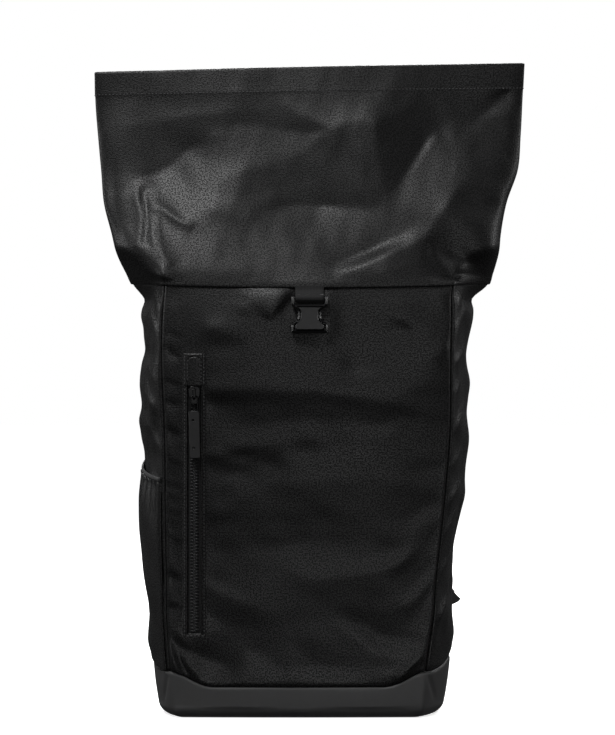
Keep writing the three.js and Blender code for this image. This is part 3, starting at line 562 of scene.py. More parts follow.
# %% [markdown]
# ## Folds
# Loose cloth breaks into folds with a sharp crest and hollow flanks. Each fold here follows a path over the
# front, seen from the front, in millimetres. It rises by `height`, or sinks where that is negative, and
# falls off over `left` and `right`, the flanks on either hand of someone who walks along the path. `soft`
# is the radius of the crest. A cloth simulation alone would make folds too, but not these folds.

# %% Fold maths
Fold = namedtuple("Fold", "height left right soft path")


def smooth_path(points, steps=10):
    knots = np.asarray(points, float)
    padded = np.concatenate([[2 * knots[0] - knots[1]], knots, [2 * knots[-1] - knots[-2]]])
    t = np.linspace(0, 1, steps, endpoint=False)[:, None]
    pieces = []
    for a, b, c, d in zip(padded[:-3], padded[1:-2], padded[2:-1], padded[3:]):
        cubic = (2 * b) + (c - a) * t + (2 * a - 5 * b + 4 * c - d) * t**2 + (3 * b - a - 3 * c + d) * t**3
        pieces.append(cubic / 2)
    return np.concatenate([*pieces, knots[-1:]])


def fold_rise(fold, x, z):
    line = smooth_path(fold.path)
    start, run = line[:-1], np.diff(line, axis=0)
    length = np.linalg.norm(run, axis=1)
    reached = np.concatenate([[0], np.cumsum(length)])
    spot = np.stack([x, z], -1)[..., None, :] - start
    t = np.clip((spot * run).sum(-1) / length**2, 0, 1)
    away = spot - run * t[..., None]
    far = np.linalg.norm(away, axis=-1)
    nearest = far.argmin(-1)[..., None]
    distance = np.take_along_axis(far, nearest, -1)[..., 0]
    cross = run[:, 0] * spot[..., 1] - run[:, 1] * spot[..., 0]
    on_left = np.take_along_axis(cross, nearest, -1)[..., 0] > 0
    share = (reached[:-1] + t * length) / reached[-1]
    swell = np.sin(np.pi * np.take_along_axis(share, nearest, -1)[..., 0]) ** 0.6
    flank = np.where(on_left, fold.left, fold.right)
    blunt = np.hypot(distance, fold.soft) - fold.soft
    return fold.height * swell * np.exp(-((blunt / flank) ** 1.25))


def relief(folds, x, z):
    return sum(fold_rise(fold, x, z) for fold in folds)


print("a fold has", len(Fold._fields), "values")

# %% [markdown]
# ## A skin between fold lines
# Creased cloth is mostly smooth facets that meet along fold lines. So the collar's front and the front panel
# are given by such lines. Each point of a line has its x and z as the front camera sees it, and then how far
# the cloth stands out there, or lies in where that is negative, all in millimetres. A skin is stretched
# between the lines: on a raster, each cell that no line crosses becomes the mean of its four neighbours,
# over and over, until it settles as a soap film does in its frame. Sculpting by hand could give the
# same folds, but lines can be corrected one by one.

# %% Fold lines of the collar
COLLAR_LINES = {
    "left_hollow": [(-166, 566, -10), (-140, 580, -11), (-120, 599, -7)],
    "upper_valley": [
        (-120, 599, -7), (-90, 612, 1), (-69, 625, 1), (-10, 617, 1), (10, 616, 4), (31, 620, 10),
    ],
    "bulge_turn": [
        (-102, 548, -4), (-80, 570, -2), (-62, 576, -1), (-20, 584, -2), (10, 602, 3), (31, 620, 10),
    ],
    "bulge_under": [
        (-92, 545, -3), (-70, 548, -3), (-45, 552, -6), (-20, 556, -8), (5, 566, -6), (24, 590, 2),
    ],
    "short_left": [(-120, 599, -7), (-134, 580, -10), (-126, 562, -9), (-110, 538, -4)],
    "short_right": [(-120, 599, -7), (-113, 585, -6), (-102, 548, -4), (-110, 538, -4)],
    "left_middle": [(-161, 557, -10), (-132, 548, -8), (-119, 520, -2)],
    "middle_left": [(-119, 520, -2), (-70, 522, -2), (-55, 528, -3), (-35, 535, -8), (-10, 540, -12)],
    "middle_right": [(-10, 540, -12), (20, 540, -13), (40, 538, -10), (64, 534, -7), (90, 543, -3)],
    "left_wedge": [(-119, 520, -2), (-108, 532, -3), (-92, 538, -1), (-64, 525, -2)],
    "neck": [(31, 620, 10), (38, 612, 9), (34, 600, 6), (24, 590, 2)],
    "neck_left": [(31, 620, 10), (24, 606, 6), (16, 596, 2)],
    "column_left": [(40, 618, 10), (41, 600, 5), (48, 556, -4), (54, 537, -9)],
    "column_middle": [(58, 626, 12), (60, 600, 9), (62, 575, 4), (66, 550, -2)],
    "wedge_left": [(76, 624, 13), (79, 590, 8), (86, 552, -2), (90, 543, -3)],
    "under_hem_left": [(-21, 656, 5), (-17, 645, 6), (12, 628, 8), (31, 620, 10)],
    "under_hem": [(31, 620, 10), (66, 630, 12), (76, 624, 13)],
    "under_hem_right": [(76, 624, 13), (79, 640, 10), (84, 657, 7)],
    "wedge_top": [(76, 624, 13), (92, 633, 9), (126, 651, 4), (160, 660, 3)],
    "tongue_left": [(90, 543, -3), (110, 573, -2), (130, 606, -3), (145, 625, -2)],
    "tongue_left_inner": [(96, 543, -3), (115, 572, -1), (134, 603, -1), (142, 614, -2)],
    "tongue_right": [
        (145, 625, -2), (157, 618, -1), (175, 596, 1), (173, 570, 4), (151, 536, 5), (140, 520, 2),
    ],
    "tongue_foot": [(140, 520, 2), (129, 504, 1), (88, 487, 2), (60, 475, 0), (34, 464, -2)],
    "tongue_right_inner": [(146, 617, -3), (163, 600, 1), (165, 578, 4), (144, 546, 3), (116, 516, -1)],
    "tongue_foot_inner": [(116, 516, -1), (96, 503, -4), (72, 492, -8), (48, 482, -7), (20, 472, -3)],
    "streak_low": [(145, 625, -2), (165, 627, 0), (182, 627, -2), (200, 633, -1), (226, 636, 2)],
    "streak_up": [(182, 627, -2), (204, 650, -3), (216, 657, -3)],
    "right_crease": [(198, 627, -2), (212, 622, -1), (226, 622, 1)],
    "right_facet": [(177, 596, 0), (192, 602, -2), (222, 590, -1)],
    "right_low": [(177, 584, 3), (184, 562, 2), (200, 566, -1), (218, 568, -1)],
    "right_lower": [(173, 548, -1), (188, 538, -3), (206, 540, -2)],
    "right_shade": [(151, 536, 5), (165, 525, 4), (180, 521, 1), (196, 512, -1)],
    "corner_up": [(137, 498, -5), (150, 493, -8), (165, 486, -12), (180, 479, -10), (199, 476, -1)],
    "corner_middle": [(137, 498, -5), (152, 484, -7), (168, 472, -6), (184, 463, -3)],
    "corner_low": [(137, 498, -5), (142, 484, -8), (162, 462, -12)],
    "under_tongue": [(132, 496, -1), (122, 482, 0), (104, 474, 2), (84, 468, 2)],
    "left_crease_up": [(-203, 556, -7), (-172, 556, -9)],
    "left_facet": [(-200, 546, -7), (-176, 540, -8)],
    "left_crease_low": [(-201, 538, -7), (-178, 521, -6), (-174, 510, -4)],
    "left_low": [(-196, 520, -4), (-181, 500, -2)],
    "left_corner": [(-188, 497, -1), (-177, 481, 2), (-164, 470, 7), (-150, 463, 6), (-136, 460, 4)],
    "upper_left": [
        (-180, 622, 1), (-150, 628, 1), (-120, 633, 3), (-90, 635, 4), (-30, 640, 4), (-17, 645, 6),
    ],
    "hem_left": [(-214, 657, 1), (-170, 656, 2), (-70, 656, 5), (-21, 656, 5)],
    "hem_right": [(-21, 656, 5), (30, 656, 7), (84, 657, 7), (160, 660, 3), (229, 661, 0)],
    "rim": [(-218, 688, 0), (236, 694, 0)],
    "edge_left": [
        (-218, 688, 0), (-214, 657, 1), (-210, 612, 1), (-203, 556, -7), (-200, 538, -7), (-180, 466, 0),
    ],
    "edge_right": [(236, 694, 0), (228, 636, 0), (225, 590, 0), (208, 540, 0), (196, 462, 0)],
}

# %% Skin between the lines
SKIN_CELL, SKIN_SWEEPS = 2.0, 1800


def as_seen(grid):
    """Where points lie on the plane of the picture, in millimetres, as the front camera sees them."""
    scale = VIEW_DISTANCE / (VIEW_DISTANCE + grid[..., 1] * MM - FRONT_PLANE)
    x = EYE[0] / MM + (grid[..., 0] - EYE[0] / MM) * scale
    z = EYE[2] / MM + (grid[..., 2] - EYE[2] / MM) * scale
    return x, z


def soften(skin, width):
    reach = np.arange(-4, 5)
    kernel = np.exp(-((reach / width) ** 2) / 2)
    kernel /= kernel.sum()
    for axis in (0, 1):
        edge = [(4, 4), (0, 0)] if axis == 0 else [(0, 0), (4, 4)]
        padded = np.pad(skin, edge, mode="edge")
        skin = sum(share * np.roll(padded, step, axis) for step, share in zip(reach, kernel))
        skin = skin[4:-4] if axis == 0 else skin[:, 4:-4]
    return skin


def stretched_skin(lines, low, high, soft):
    """Heights over a raster: given along the fold lines, and stretched evenly between them."""
    low, high = np.asarray(low, float), np.asarray(high, float)
    columns, rows = np.ceil((high - low) / SKIN_CELL).astype(int) + 1
    total, hits = np.zeros((rows, columns)), np.zeros((rows, columns))
    for line in lines:
        corners = np.asarray(line, float)
        for start, end in zip(corners[:-1], corners[1:]):
            count = 2 + int(np.hypot(*(end - start)[:2]) / (SKIN_CELL * 0.4))
            path = lerp(start, end, np.linspace(0, 1, count)[:, None])
            column, row = np.rint((path[:, :2] - low) / SKIN_CELL).astype(int).T
            row, column = np.clip(row, 0, rows - 1), np.clip(column, 0, columns - 1)
            np.add.at(total, (row, column), path[:, 2])
            np.add.at(hits, (row, column), 1)
    fixed = hits > 0
    skin = total / np.maximum(hits, 1)
    for _ in range(SKIN_SWEEPS):
        padded = np.pad(skin, 1, mode="edge")
        around = (padded[:-2, 1:-1] + padded[2:, 1:-1] + padded[1:-1, :-2] + padded[1:-1, 2:]) / 4
        skin = np.where(fixed, skin, around)
    return soften(skin, soft)


def read_skin(skin, low, x, z):
    column = np.clip((x - low[0]) / SKIN_CELL, 0, skin.shape[1] - 1.001)
    row = np.clip((z - low[1]) / SKIN_CELL, 0, skin.shape[0] - 1.001)
    i, j = row.astype(int), column.astype(int)
    p, q = row - i, column - j
    return lerp(lerp(skin[i, j], skin[i, j + 1], q), lerp(skin[i + 1, j], skin[i + 1, j + 1], q), p)


# %% Skin of the collar
SKIN_LOW, SKIN_HIGH, COLLAR_SOFT = (-232, 450), (252, 700), 1.25
FOOT_Z, FOOT_SAG, FOOT_MIDDLE, FOOT_HALF = 458, 5, 7, 152
foot_line = []
for x in range(SKIN_LOW[0], SKIN_HIGH[0] + 1, 12):
    sag = FOOT_SAG * max(0, 1 - ((x - FOOT_MIDDLE) / FOOT_HALF) ** 2)
    foot_line.append((x, FOOT_Z - sag, 0))
collar_skin = stretched_skin([*COLLAR_LINES.values(), foot_line], SKIN_LOW, SKIN_HIGH, COLLAR_SOFT)
print("collar skin from", round(float(collar_skin.min()), 1), "to", round(float(collar_skin.max()), 1), "mm")

# %% [markdown]
# ## Short creases
# Some creases are too narrow for the skin's raster: the pinched tooth at the collar's left, the pulls at
# the buckle tab and the boot's corners, and the puckers that the zip's stitches draw into the strip
# beside it. They are single folds, laid over the skin. The collar's back gets a few wide ones.

# %% Short creases
COLLAR_CREASES = [
    Fold(2.5, 4, 5, 0.9, [(-166, 569), (-173, 552), (-168, 530), (-170, 509), (-175, 494)]),
    Fold(-2.6, 4, 4, 1.6, [(-166, 560), (-166, 545), (-163, 530), (-164, 512), (-166, 496)]),
    Fold(3.0, 7, 4, 0.9, [(-166, 569), (-160, 556), (-158, 535), (-157, 510), (-150, 494), (-138, 474)]),
    Fold(2.4, 5, 5, 1.0, [(-159, 543), (-145, 535), (-132, 525), (-114, 516)]),
]
PANEL_CREASES = [
    Fold(3.6, 3.5, 28, 0.8, [(-7, 454), (-15, 447), (-25, 436), (-38, 421)]),
    Fold(4.0, 9, 40, 3, [(26, 453), (27, 430), (26, 408), (18, 388)]),
    Fold(2.8, 3, 5, 0.8, [(-141, 82), (-135, 62), (-126, 40)]),
    Fold(-2.8, 3, 4, 0.8, [(-132, 68), (-122, 50), (-110, 36)]),
    Fold(2.6, 5, 3, 0.8, [(98, 38), (112, 52), (129, 68)]),
]
STRIP_CREASES = [
    (404, 0.84), (384, 1.2), (352, 1.44), (331, 0.96), (302, 1.32), (270, 1.08),
    (244, 1.32), (215, 0.96), (188, 1.2), (150, 1.32), (117, 1.44),
]
for k, (z, depth) in enumerate(STRIP_CREASES):
    lean = 5 + 3 * math.sin(1.7 * k)
    PANEL_CREASES.append(Fold(-depth, 2.5, 5, 0.7, [(-146, z + lean), (-137, z), (-126, z - lean)]))
print("creases:", len(COLLAR_CREASES), "collar,", len(PANEL_CREASES), "panel")

# %% Folds of the collar's back
COLLAR_BACK_FOLDS = [
    Fold(7, 20, 26, 4, [(-150, 610), (-90, 572), (-30, 524), (10, 480)]),
    Fold(-5, 16, 20, 5, [(-70, 620), (-10, 566), (40, 510)]),
    Fold(7, 14, 18, 3, [(150, 640), (110, 590), (90, 540), (60, 486)]),
    Fold(5, 10, 12, 3, [(-160, 520), (-120, 500), (-70, 470)]),
    Fold(-4, 14, 16, 4, [(128, 560), (150, 520), (160, 480)]),
]
print("folds of the collar's back:", len(COLLAR_BACK_FOLDS))

# %% Fold lines of the front panel
PANEL_LINES = {
    "top_left": [(-138, 432, 1), (-80, 432, 2), (-34, 418, 2)],
    "top_left_low": [(-95, 410, 6), (-60, 408, 4), (-30, 404, 0), (-16, 398, -1)],
    "by_garage": [(-97, 388, 0), (-66, 392, 0)],
    "by_garage_low": [(-99, 368, 1), (-50, 372, 2), (-20, 376, 1)],
    "belly_top": [(-99, 346, 4), (20, 345, 5), (100, 333, 4), (152, 318, 1)],
    "belly": [(-95, 330, -2), (-40, 330, 1), (20, 330, 2), (120, 315, 1)],
    "belly_low": [(-99, 312, -1), (-60, 311, -1.5), (20, 315, 0), (100, 305, 0), (130, 298, 1)],
    "streak_above": [(-74, 298, -1.5), (-66, 307, -2), (-10, 312, -1)],
    "streak": [(-76, 289, 0.5), (-40, 300, 0), (10, 303, 0.5)],
    "streak_under": [(-72, 284, 2.5), (-50, 287, 2.5), (10, 296, 0.5), (25, 290, 0)],
    "zip_streak": [(-99, 279, 4), (-80, 277, 1), (-58, 279, -2)],
    "zip_streak_under": [(-94, 267, -1), (-70, 265, 0), (-48, 266, -1), (-30, 268, -2)],
    "zip_hollow": [(-99, 256, -0.5), (-80, 256, -1.5), (-20, 262, 0)],
    "low_streak": [(-99, 222, 1.5), (-90, 234, 1), (-70, 254, 2)],
    "low_streak_under": [(-94, 214, 3), (-55, 238, 3), (-30, 246, 2)],
    "middle_rise": [(0, 280, -1.5), (40, 285, 0), (80, 296, 1.5), (105, 308, 1.5)],
    "middle": [(-60, 240, 1.5), (-20, 250, 2.5), (80, 255, 2), (110, 248, 1)],
    "middle_low": [(-80, 205, 0.5), (-40, 215, 1.5), (10, 222, 1), (100, 222, 0.5)],
    "middle_hollow": [(-90, 175, -0.5), (0, 185, -2), (100, 192, -0.5)],
    "right_streak": [(108, 258, 0.5), (125, 263, -1), (150, 264, -1.5)],
    "right_streak_under": [(112, 248, 0.5), (130, 245, 0), (150, 246, -1)],
    "right_ridge": [(108, 203, 0), (118, 214, -1), (130, 224, -1.5), (147, 226, -1)],
    "right_ridge_under": [(112, 196, 0), (126, 204, 0.5), (147, 212, 0.5)],
    "long_ridge": [(5, 165, -1.5), (60, 163, -1), (100, 174, -1.5), (110, 182, -0.5), (118, 194, 0.5)],
    "long_ridge_under": [(0, 150, 1), (30, 150, 2), (98, 162, 2.5), (112, 174, 1.5)],
    "long_hollow": [(85, 140, 1), (105, 150, 0), (122, 166, -1), (145, 198, -0.5)],
    "short_ridge": [(100, 122, 0.5), (115, 134, -1), (139, 164, -1.5)],
    "short_ridge_under": [(108, 118, 1), (120, 127, 1), (139, 150, 0)],
    "seam_ridge": [(118, 112, -0.5), (138, 138, -1)],
    "broad_band": [(36, 110, -1), (64, 96, -3), (80, 86, -4), (98, 80, -3.5), (116, 82, -2)],
    "broad_band_under": [(30, 104, -0.5), (66, 80, 0), (82, 66, 1), (100, 65, 1), (114, 74, -0.5)],
    "corner_crease": [(97, 42, 1.5), (116, 60, 1.5), (128, 70, 1)],
    "corner_crease_under": [(104, 42, 0.5), (131, 63, 0)],
    "left_ridge": [(-99, 148, -1.5), (-74, 138, -0.5), (-40, 126, 0.5)],
    "left_ridge_under": [(-98, 138, 1.5), (-66, 126, 1), (-48, 120, 0.5)],
    "left_slope": [(-98, 110, -2), (-70, 94, -2.5), (-44, 66, -2.5)],
    "left_shelf": [
        (-128, 76, -3), (-115, 67, -3.5), (-100, 60, -5), (-84, 58, -5), (-72, 50, -2), (-64, 42, 1),
    ],
    "middle_shelf": [(-60, 50, 0), (-44, 56, -1), (-28, 56, -2), (-14, 48, -1), (-8, 42, 1)],
    "right_shelf": [(-4, 52, -1.5), (6, 57, -2.5), (24, 55, -2.5), (80, 57, -0.5), (96, 56, 0)],
    "left_corner": [(-136, 84, -2.5), (-130, 72, -1.5), (-124, 60, 1.5), (-110, 41, 1)],
    "left_corner_above": [(-130, 90, 2), (-122, 75, 0.5), (-114, 62, -0.5)],
    "tab_pull": [(-9, 451, -0.5), (-16, 444, 0.5), (-24, 434, 2), (-32, 424, 3)],
    "tab_pull_under": [(-4, 446, -1), (-12, 436, -2), (-20, 428, -2.5)],
    "tab_ridge": [(-18, 451, 1.5), (-32, 446, 1.5), (-48, 438, 2.5), (-62, 426, 5)],
    "top_right": [(50, 440, 0.5), (70, 436, 1.5), (105, 422, 3), (116, 414, 3)],
    "top_right_seam": [(56, 450, 0), (90, 448, 0), (130, 446, 1), (150, 440, 4)],
    "top_right_low": [(48, 404, -2), (90, 404, -2), (110, 410, -1.5)],
    "right_slope": [(50, 375, -4), (80, 372, -1.5), (110, 374, 1.5), (140, 384, 4), (152, 392, 4)],
    "right_belly": [(60, 352, 3.5), (90, 352, 3.5), (110, 350, 4.5), (130, 352, 3.5), (150, 350, 1.5)],
}
STRIP_HOLLOWS = [380, 326, 292, 252, 226, 198, 174, 140, 106]
STRIP_OUTER, STRIP_INNER, STRIP_LEAN = -140, -123, 5
strip_lines = [
    [(STRIP_OUTER, z + STRIP_LEAN, -2.5), (STRIP_INNER, z - STRIP_LEAN, 1.5)] for z in STRIP_HOLLOWS
]
strip_lines += [
    [(STRIP_OUTER, (a + b) / 2, 1), (STRIP_INNER, (a + b) / 2 - 3, -0.5)]
    for a, b in zip(STRIP_HOLLOWS[:-1], STRIP_HOLLOWS[1:])
]
print("fold lines:", len(COLLAR_LINES), "collar,", len(PANEL_LINES) + len(strip_lines), "panel")

# %% Skin of the front panel
PANEL_LOW, PANEL_HIGH, PANEL_SOFT = (-152, 26), (166, 466), 1.8
ZIP_FRAME = [(-124, 84, 0), (-102, 84, 0), (-102, 388, 0), (-124, 388, 0), (-124, 84, 0)]
seam_z = np.arange(40, 462, 10.0)
seam_s = np.linspace(0, 1, 31)
panel_edges = [
    [(float(section("seam_left", z)), z, 0) for z in seam_z],
    [(float(section("seam_right", z)), z, 0) for z in seam_z],
    [(*girth(s, collar_seam(s))[[0, 2]], 0) for s in seam_s],
    [(*girth(s, boot_seam(s))[[0, 2]], 0) for s in seam_s],
    ZIP_FRAME,
]
panel_lines = [*PANEL_LINES.values(), *strip_lines, *panel_edges]
panel_skin = stretched_skin(panel_lines, PANEL_LOW, PANEL_HIGH, PANEL_SOFT)
print("panel skin from", round(float(panel_skin.min()), 1), "to", round(float(panel_skin.max()), 1), "mm")

# %% [markdown]
# ## Slow waviness
# A slow waviness is left in any cloth that has been folded and unfolded. It is a sum of a few plane waves
# with fixed phases, so each run of the lesson gives the same bag.


# %% Slow waviness
def waviness(x, z, length, seed, waves=9):
    turn = np.random.default_rng(seed)
    total = np.zeros(np.broadcast(x, z).shape)
    for _ in range(waves):
        angle = turn.uniform(0, 2 * np.pi)
        phase = turn.uniform(0, 2 * np.pi)
        stretch = turn.uniform(0.7, 1.5)
        along = x * np.cos(angle) + z * np.sin(angle)
        total += np.sin(2 * np.pi * along / (length * stretch) + phase)
    return total / math.sqrt(waves)


print("waviness at the origin:", round(float(waviness(0.0, 0.0, 60, 1)), 3))

# %% [markdown]
# ## The roll-top collar
# The collar is one tall tube of cloth, sewn over the body's top edge and open at the mouth. Unrolled, it
# keeps the folds that rolling pressed into it. It is built as one ring of columns round the bag, a few
# millimetres apart. The skin and the creases push the front outwards or inwards, and fade where the seam
# holds the cloth. It lifts a little over the buckle's tab. The hem above is doubled, so it is thicker.

# %% Collar shape
LAP_CLEAR, COLLAR_CLOTH = 0.5, 1.6
RIM_TILT, HEM, HEM_EXTRA = 0.021, 27, 0.35
BACK_LIFT, BACK_LIFT_FROM, BACK_LIFT_TO = 6, -60, 120
COLLAR_ROWS, COLLAR_FRONT, COLLAR_SIDE, COLLAR_BACK = 120, 170, 56, 70
TIP_CROWDING = 1.4
TAB_X, TAB_LIFT = 8, 1.5


def collar_stops():
    front = np.linspace(0, 1, COLLAR_FRONT, endpoint=False)
    back = np.linspace(2, 3, COLLAR_BACK, endpoint=False)
    u = np.linspace(-1, 1, COLLAR_SIDE, endpoint=False)
    side = 0.5 + 0.5 * np.sign(u) * np.abs(u) ** TIP_CROWDING
    return np.concatenate([front, RIGHT + side, back, LEFT + side])


def follow_tip(s, z):
    """Moves the columns of a side with its edge, so that they stay close together there."""
    panel, t, _ = panel_share(s)
    power = 1 / tip_power(z)
    right, left = RIGHT + t**power, LEFT + 1 - (1 - t) ** power
    return np.select([panel == RIGHT, panel == LEFT], [right, left], s)


def collar_facing(s, z):
    """How much each point belongs to the front of the flattened collar, and how much to its back."""
    panel, t, _ = panel_share(s)
    from_front = np.where(panel == RIGHT, t, np.where(panel == LEFT, 1 - t, 0)) ** tip_power(z)
    front = np.where(panel == BACK, 0, 1 - smooth(from_front, 0.3, 0.5))
    back = np.where(panel == FRONT, 0, smooth(from_front, 0.5, 0.7))
    return front, np.where(panel == BACK, 1, back)


# %% Collar folds
def collar_hold(v):
    """How free the back's cloth is to fold: held at the seam, stiffer in the hem."""
    return smooth(v, 0.0, 0.1) * lerp(1, 0.4, smooth(v, 0.84, 0.97))


def collar_folds(grid, s, v):
    """How far the folds push the front and the back of the collar out."""
    x, height = grid[..., 0], grid[..., 2]
    crumple = 0.3 * waviness(x, height, 60, 3) + 0.12 * waviness(x, height, 24, 4)
    seen = as_seen(grid)
    front = read_skin(collar_skin, SKIN_LOW, *seen) + relief(COLLAR_CREASES, *seen) + crumple
    above_seam = height - collar_seam(s)
    over_tab = TAB_LIFT * (1 - smooth(np.abs(x - TAB_X), 14, 44)) * (1 - smooth(above_seam, 0, 26))
    front = front * smooth(above_seam, 0, 10) + over_tab
    back = (relief(COLLAR_BACK_FOLDS, -x, height) + 3 * crumple) * collar_hold(v)
    return front, back


def collar_grid():
    s, v = np.meshgrid(collar_stops(), np.linspace(0, 1, COLLAR_ROWS))
    z = lerp(collar_seam(s) - COLLAR_LAP, RIM, v)
    s = follow_tip(s, z)
    hem_share = HEM / (RIM - BODY_TOP + COLLAR_LAP)
    hem = HEM_EXTRA * smooth(v, 1 - hem_share - 0.006, 1 - hem_share + 0.006)
    grid = girth(s, z) + outward(s, z) * (LAP_CLEAR + COLLAR_CLOTH + hem)[..., None]
    panel, _, arch = panel_share(s)
    x = grid[..., 0]
    back_lift = np.where(panel == BACK, arch, 0) * smooth(-x, BACK_LIFT_FROM, BACK_LIFT_TO) * BACK_LIFT
    grid[..., 2] += (RIM_TILT * x + back_lift) * v * v
    facing_front, facing_back = collar_facing(s, z)
    front_rise, back_rise = collar_folds(grid, s, v)
    grid[..., 1] += back_rise * facing_back - front_rise * facing_front
    return grid, COLLAR_CLOTH + hem


# %% Collar piece
collar_points, collar_thick = collar_grid()
collar_mesh = wall("collar", collar_points, collar_thick, closed=True, lined=True)
collar = place_piece("collar", collar_mesh, [BLACK_CLOTH, LINING_CLOTH], ["roll_top_collar"])
print("collar faces:", len(collar_mesh.polygons))

# %% [markdown]
# ## Front panel
# The front is one panel between two long seams. Its edges turn in where they are sewn. The zip sits in a
# narrow window: two turned edges with the tape behind. The columns of the grid crowd together there, so
# that the turned edges are round. One smooth sheet with a bump in its material would be quicker, but the
# turned edges and folds have to show from the side too.

# %% Front panel shape
PANEL_CLOTH, SEAM_GAP = 1.8, 0.3
SEAM_TURN, SEAM_TURN_WIDTH, BOOT_TURN = 5, 2.3, 0.3
ZIP_X, ZIP_TOP, ZIP_BOTTOM = -113, 384, 86
ZIP_WINDOW_TOP, ZIP_WINDOW_BOTTOM = 380, 90
ZIP_DEPTH, ZIP_STITCH, ZIP_CLEAR = 4.2, 10.2, 13
ZIP_COLUMNS = [11.8, 10.9, 10.2, 9.5, 8.6, 7.8, 7.2, 6.7, 6.2, 5.6]


def front_stop(x, z):
    left, right = section("seam_left", z), section("seam_right", z)
    return (x - left) / (right - left)


def panel_columns(z):
    offsets = np.array([-o for o in ZIP_COLUMNS] + [-3.0, 0.0, 3.0] + ZIP_COLUMNS[::-1])
    left, right = section("seam_left", z), section("seam_right", z)
    ease = (1 - np.cos(np.pi * np.linspace(0, 1, 14))) / 2
    near = left[:, None] + (ZIP_X - ZIP_CLEAR - left)[:, None] * ease[None, :]
    across = np.broadcast_to(ZIP_X + offsets, (len(z), len(offsets)))
    share = np.linspace(0, 1, 96)
    share = lerp(share, np.sin(np.pi / 2 * share), 0.85)
    far = ZIP_X + ZIP_CLEAR + (right - ZIP_X - ZIP_CLEAR)[:, None] * share[None, :]
    return np.concatenate([near, across, far], axis=1)


def panel_heights():
    low = np.linspace(0, 1, 18, endpoint=False)
    ends = [86, 88, 89, 90, 91, 92, 94]
    middle = np.concatenate([ends, np.linspace(97, 374, 98), [376, 378, 379, 380, 381, 382, 384]])
    high = np.linspace(0, 1, 28)
    return low, middle, high


def panel_grid():
    low, middle, high = panel_heights()
    flat_z = np.concatenate([lerp(40, 84, low), middle, lerp(387, BODY_TOP, high)])
    x = panel_columns(flat_z)
    s = np.clip(front_stop(x, flat_z[:, None]), 0, 1)
    bottom, top = boot_seam(s[0]) + SEAM_GAP, collar_seam(s[-1]) - SEAM_GAP
    rows = [lerp(bottom, 84, share) for share in low]
    rows += [np.full(x.shape[1], z) for z in middle]
    rows += [lerp(387, top, share) for share in high]
    z = np.array(rows)
    s = np.clip(front_stop(panel_columns_at(x, flat_z, z), z), 0, 1)
    return s, z


def panel_columns_at(x, flat_z, z):
    """The columns' x, moved with the seams where a row isn't level."""
    left = section("seam_left", z) - section("seam_left", flat_z)[:, None]
    right = section("seam_right", z) - section("seam_right", flat_z)[:, None]
    share = front_stop(x, flat_z[:, None])
    return x + lerp(left, right, share)


print("columns across the zip:", 2 * len(ZIP_COLUMNS) + 3)


# %% Relief of the front panel
GROOVE = 0.6


def groove(distance):
    """The dent that a row of stitches presses into cloth."""
    return np.exp(-((distance / GROOVE) ** 2))


def zip_channel(x, z):
    side = np.abs(x - ZIP_X)
    between = smooth(z, ZIP_WINDOW_BOTTOM - 1, ZIP_WINDOW_BOTTOM + 1)
    between = between * (1 - smooth(z, ZIP_WINDOW_TOP - 1, ZIP_WINDOW_TOP + 1))
    sunk = -ZIP_DEPTH * (1 - smooth(side, 5.8, 7.4)) * between
    lip = 0.9 * np.exp(-(((side - 8.0) / 0.9) ** 2)) * between
    framed = smooth(z, ZIP_BOTTOM - 2, ZIP_BOTTOM + 2) * (1 - smooth(z, ZIP_TOP - 2, ZIP_TOP + 2))
    return sunk + lip - groove(side - ZIP_STITCH) * framed


def seam_turn(distance):
    """How far cloth turns in beside a seam, at a distance from it."""
    return -SEAM_TURN * np.exp(-((distance / SEAM_TURN_WIDTH) ** 1.5) * 3)


def panel_rise(s, x, z):
    left, right = section("seam_left", z), section("seam_right", z)
    from_seam = np.minimum(x - left, right - x)
    from_top = collar_seam(s) - z
    from_boot = z - boot_seam(s)
    wavy = 0.3 * waviness(x, z, 85, 11) + 0.15 * waviness(x, z, 31, 12)
    loose = wavy * smooth(np.abs(x - ZIP_X), 11, 20)
    soft = (read_skin(panel_skin, PANEL_LOW, x, z) + loose) * smooth(from_seam, 0, 6)
    held = smooth(from_top, 0, 10) * smooth(from_boot, 0, 8)
    turned = seam_turn(from_seam) + BOOT_TURN * seam_turn(from_boot)
    drawn = relief(PANEL_CREASES, x, z) * smooth(from_top, 0, 3)
    return soft * held + drawn + turned + zip_channel(x, z)


panel_s, panel_z = panel_grid()
front_points = girth(panel_s, panel_z)
front_rise = panel_rise(panel_s, front_points[..., 0], panel_z)
front_points[..., 1] -= front_rise
front_mesh = wall("front", front_points, PANEL_CLOTH)
front = place_piece("front", front_mesh, [BLACK_CLOTH], ["front_panel"])
print("front panel faces:", len(front_mesh.polygons))

# %% [markdown]
# ## Side panels
# A gusset joins front and back on each side. It is cut longer than it needs to be, so it stands out round
# and breaks into slack folds under the collar, where it tucks in. Each side has its own folds, given by
# depth and height: a few wide ones, and short ones that the front seam's thread draws in.

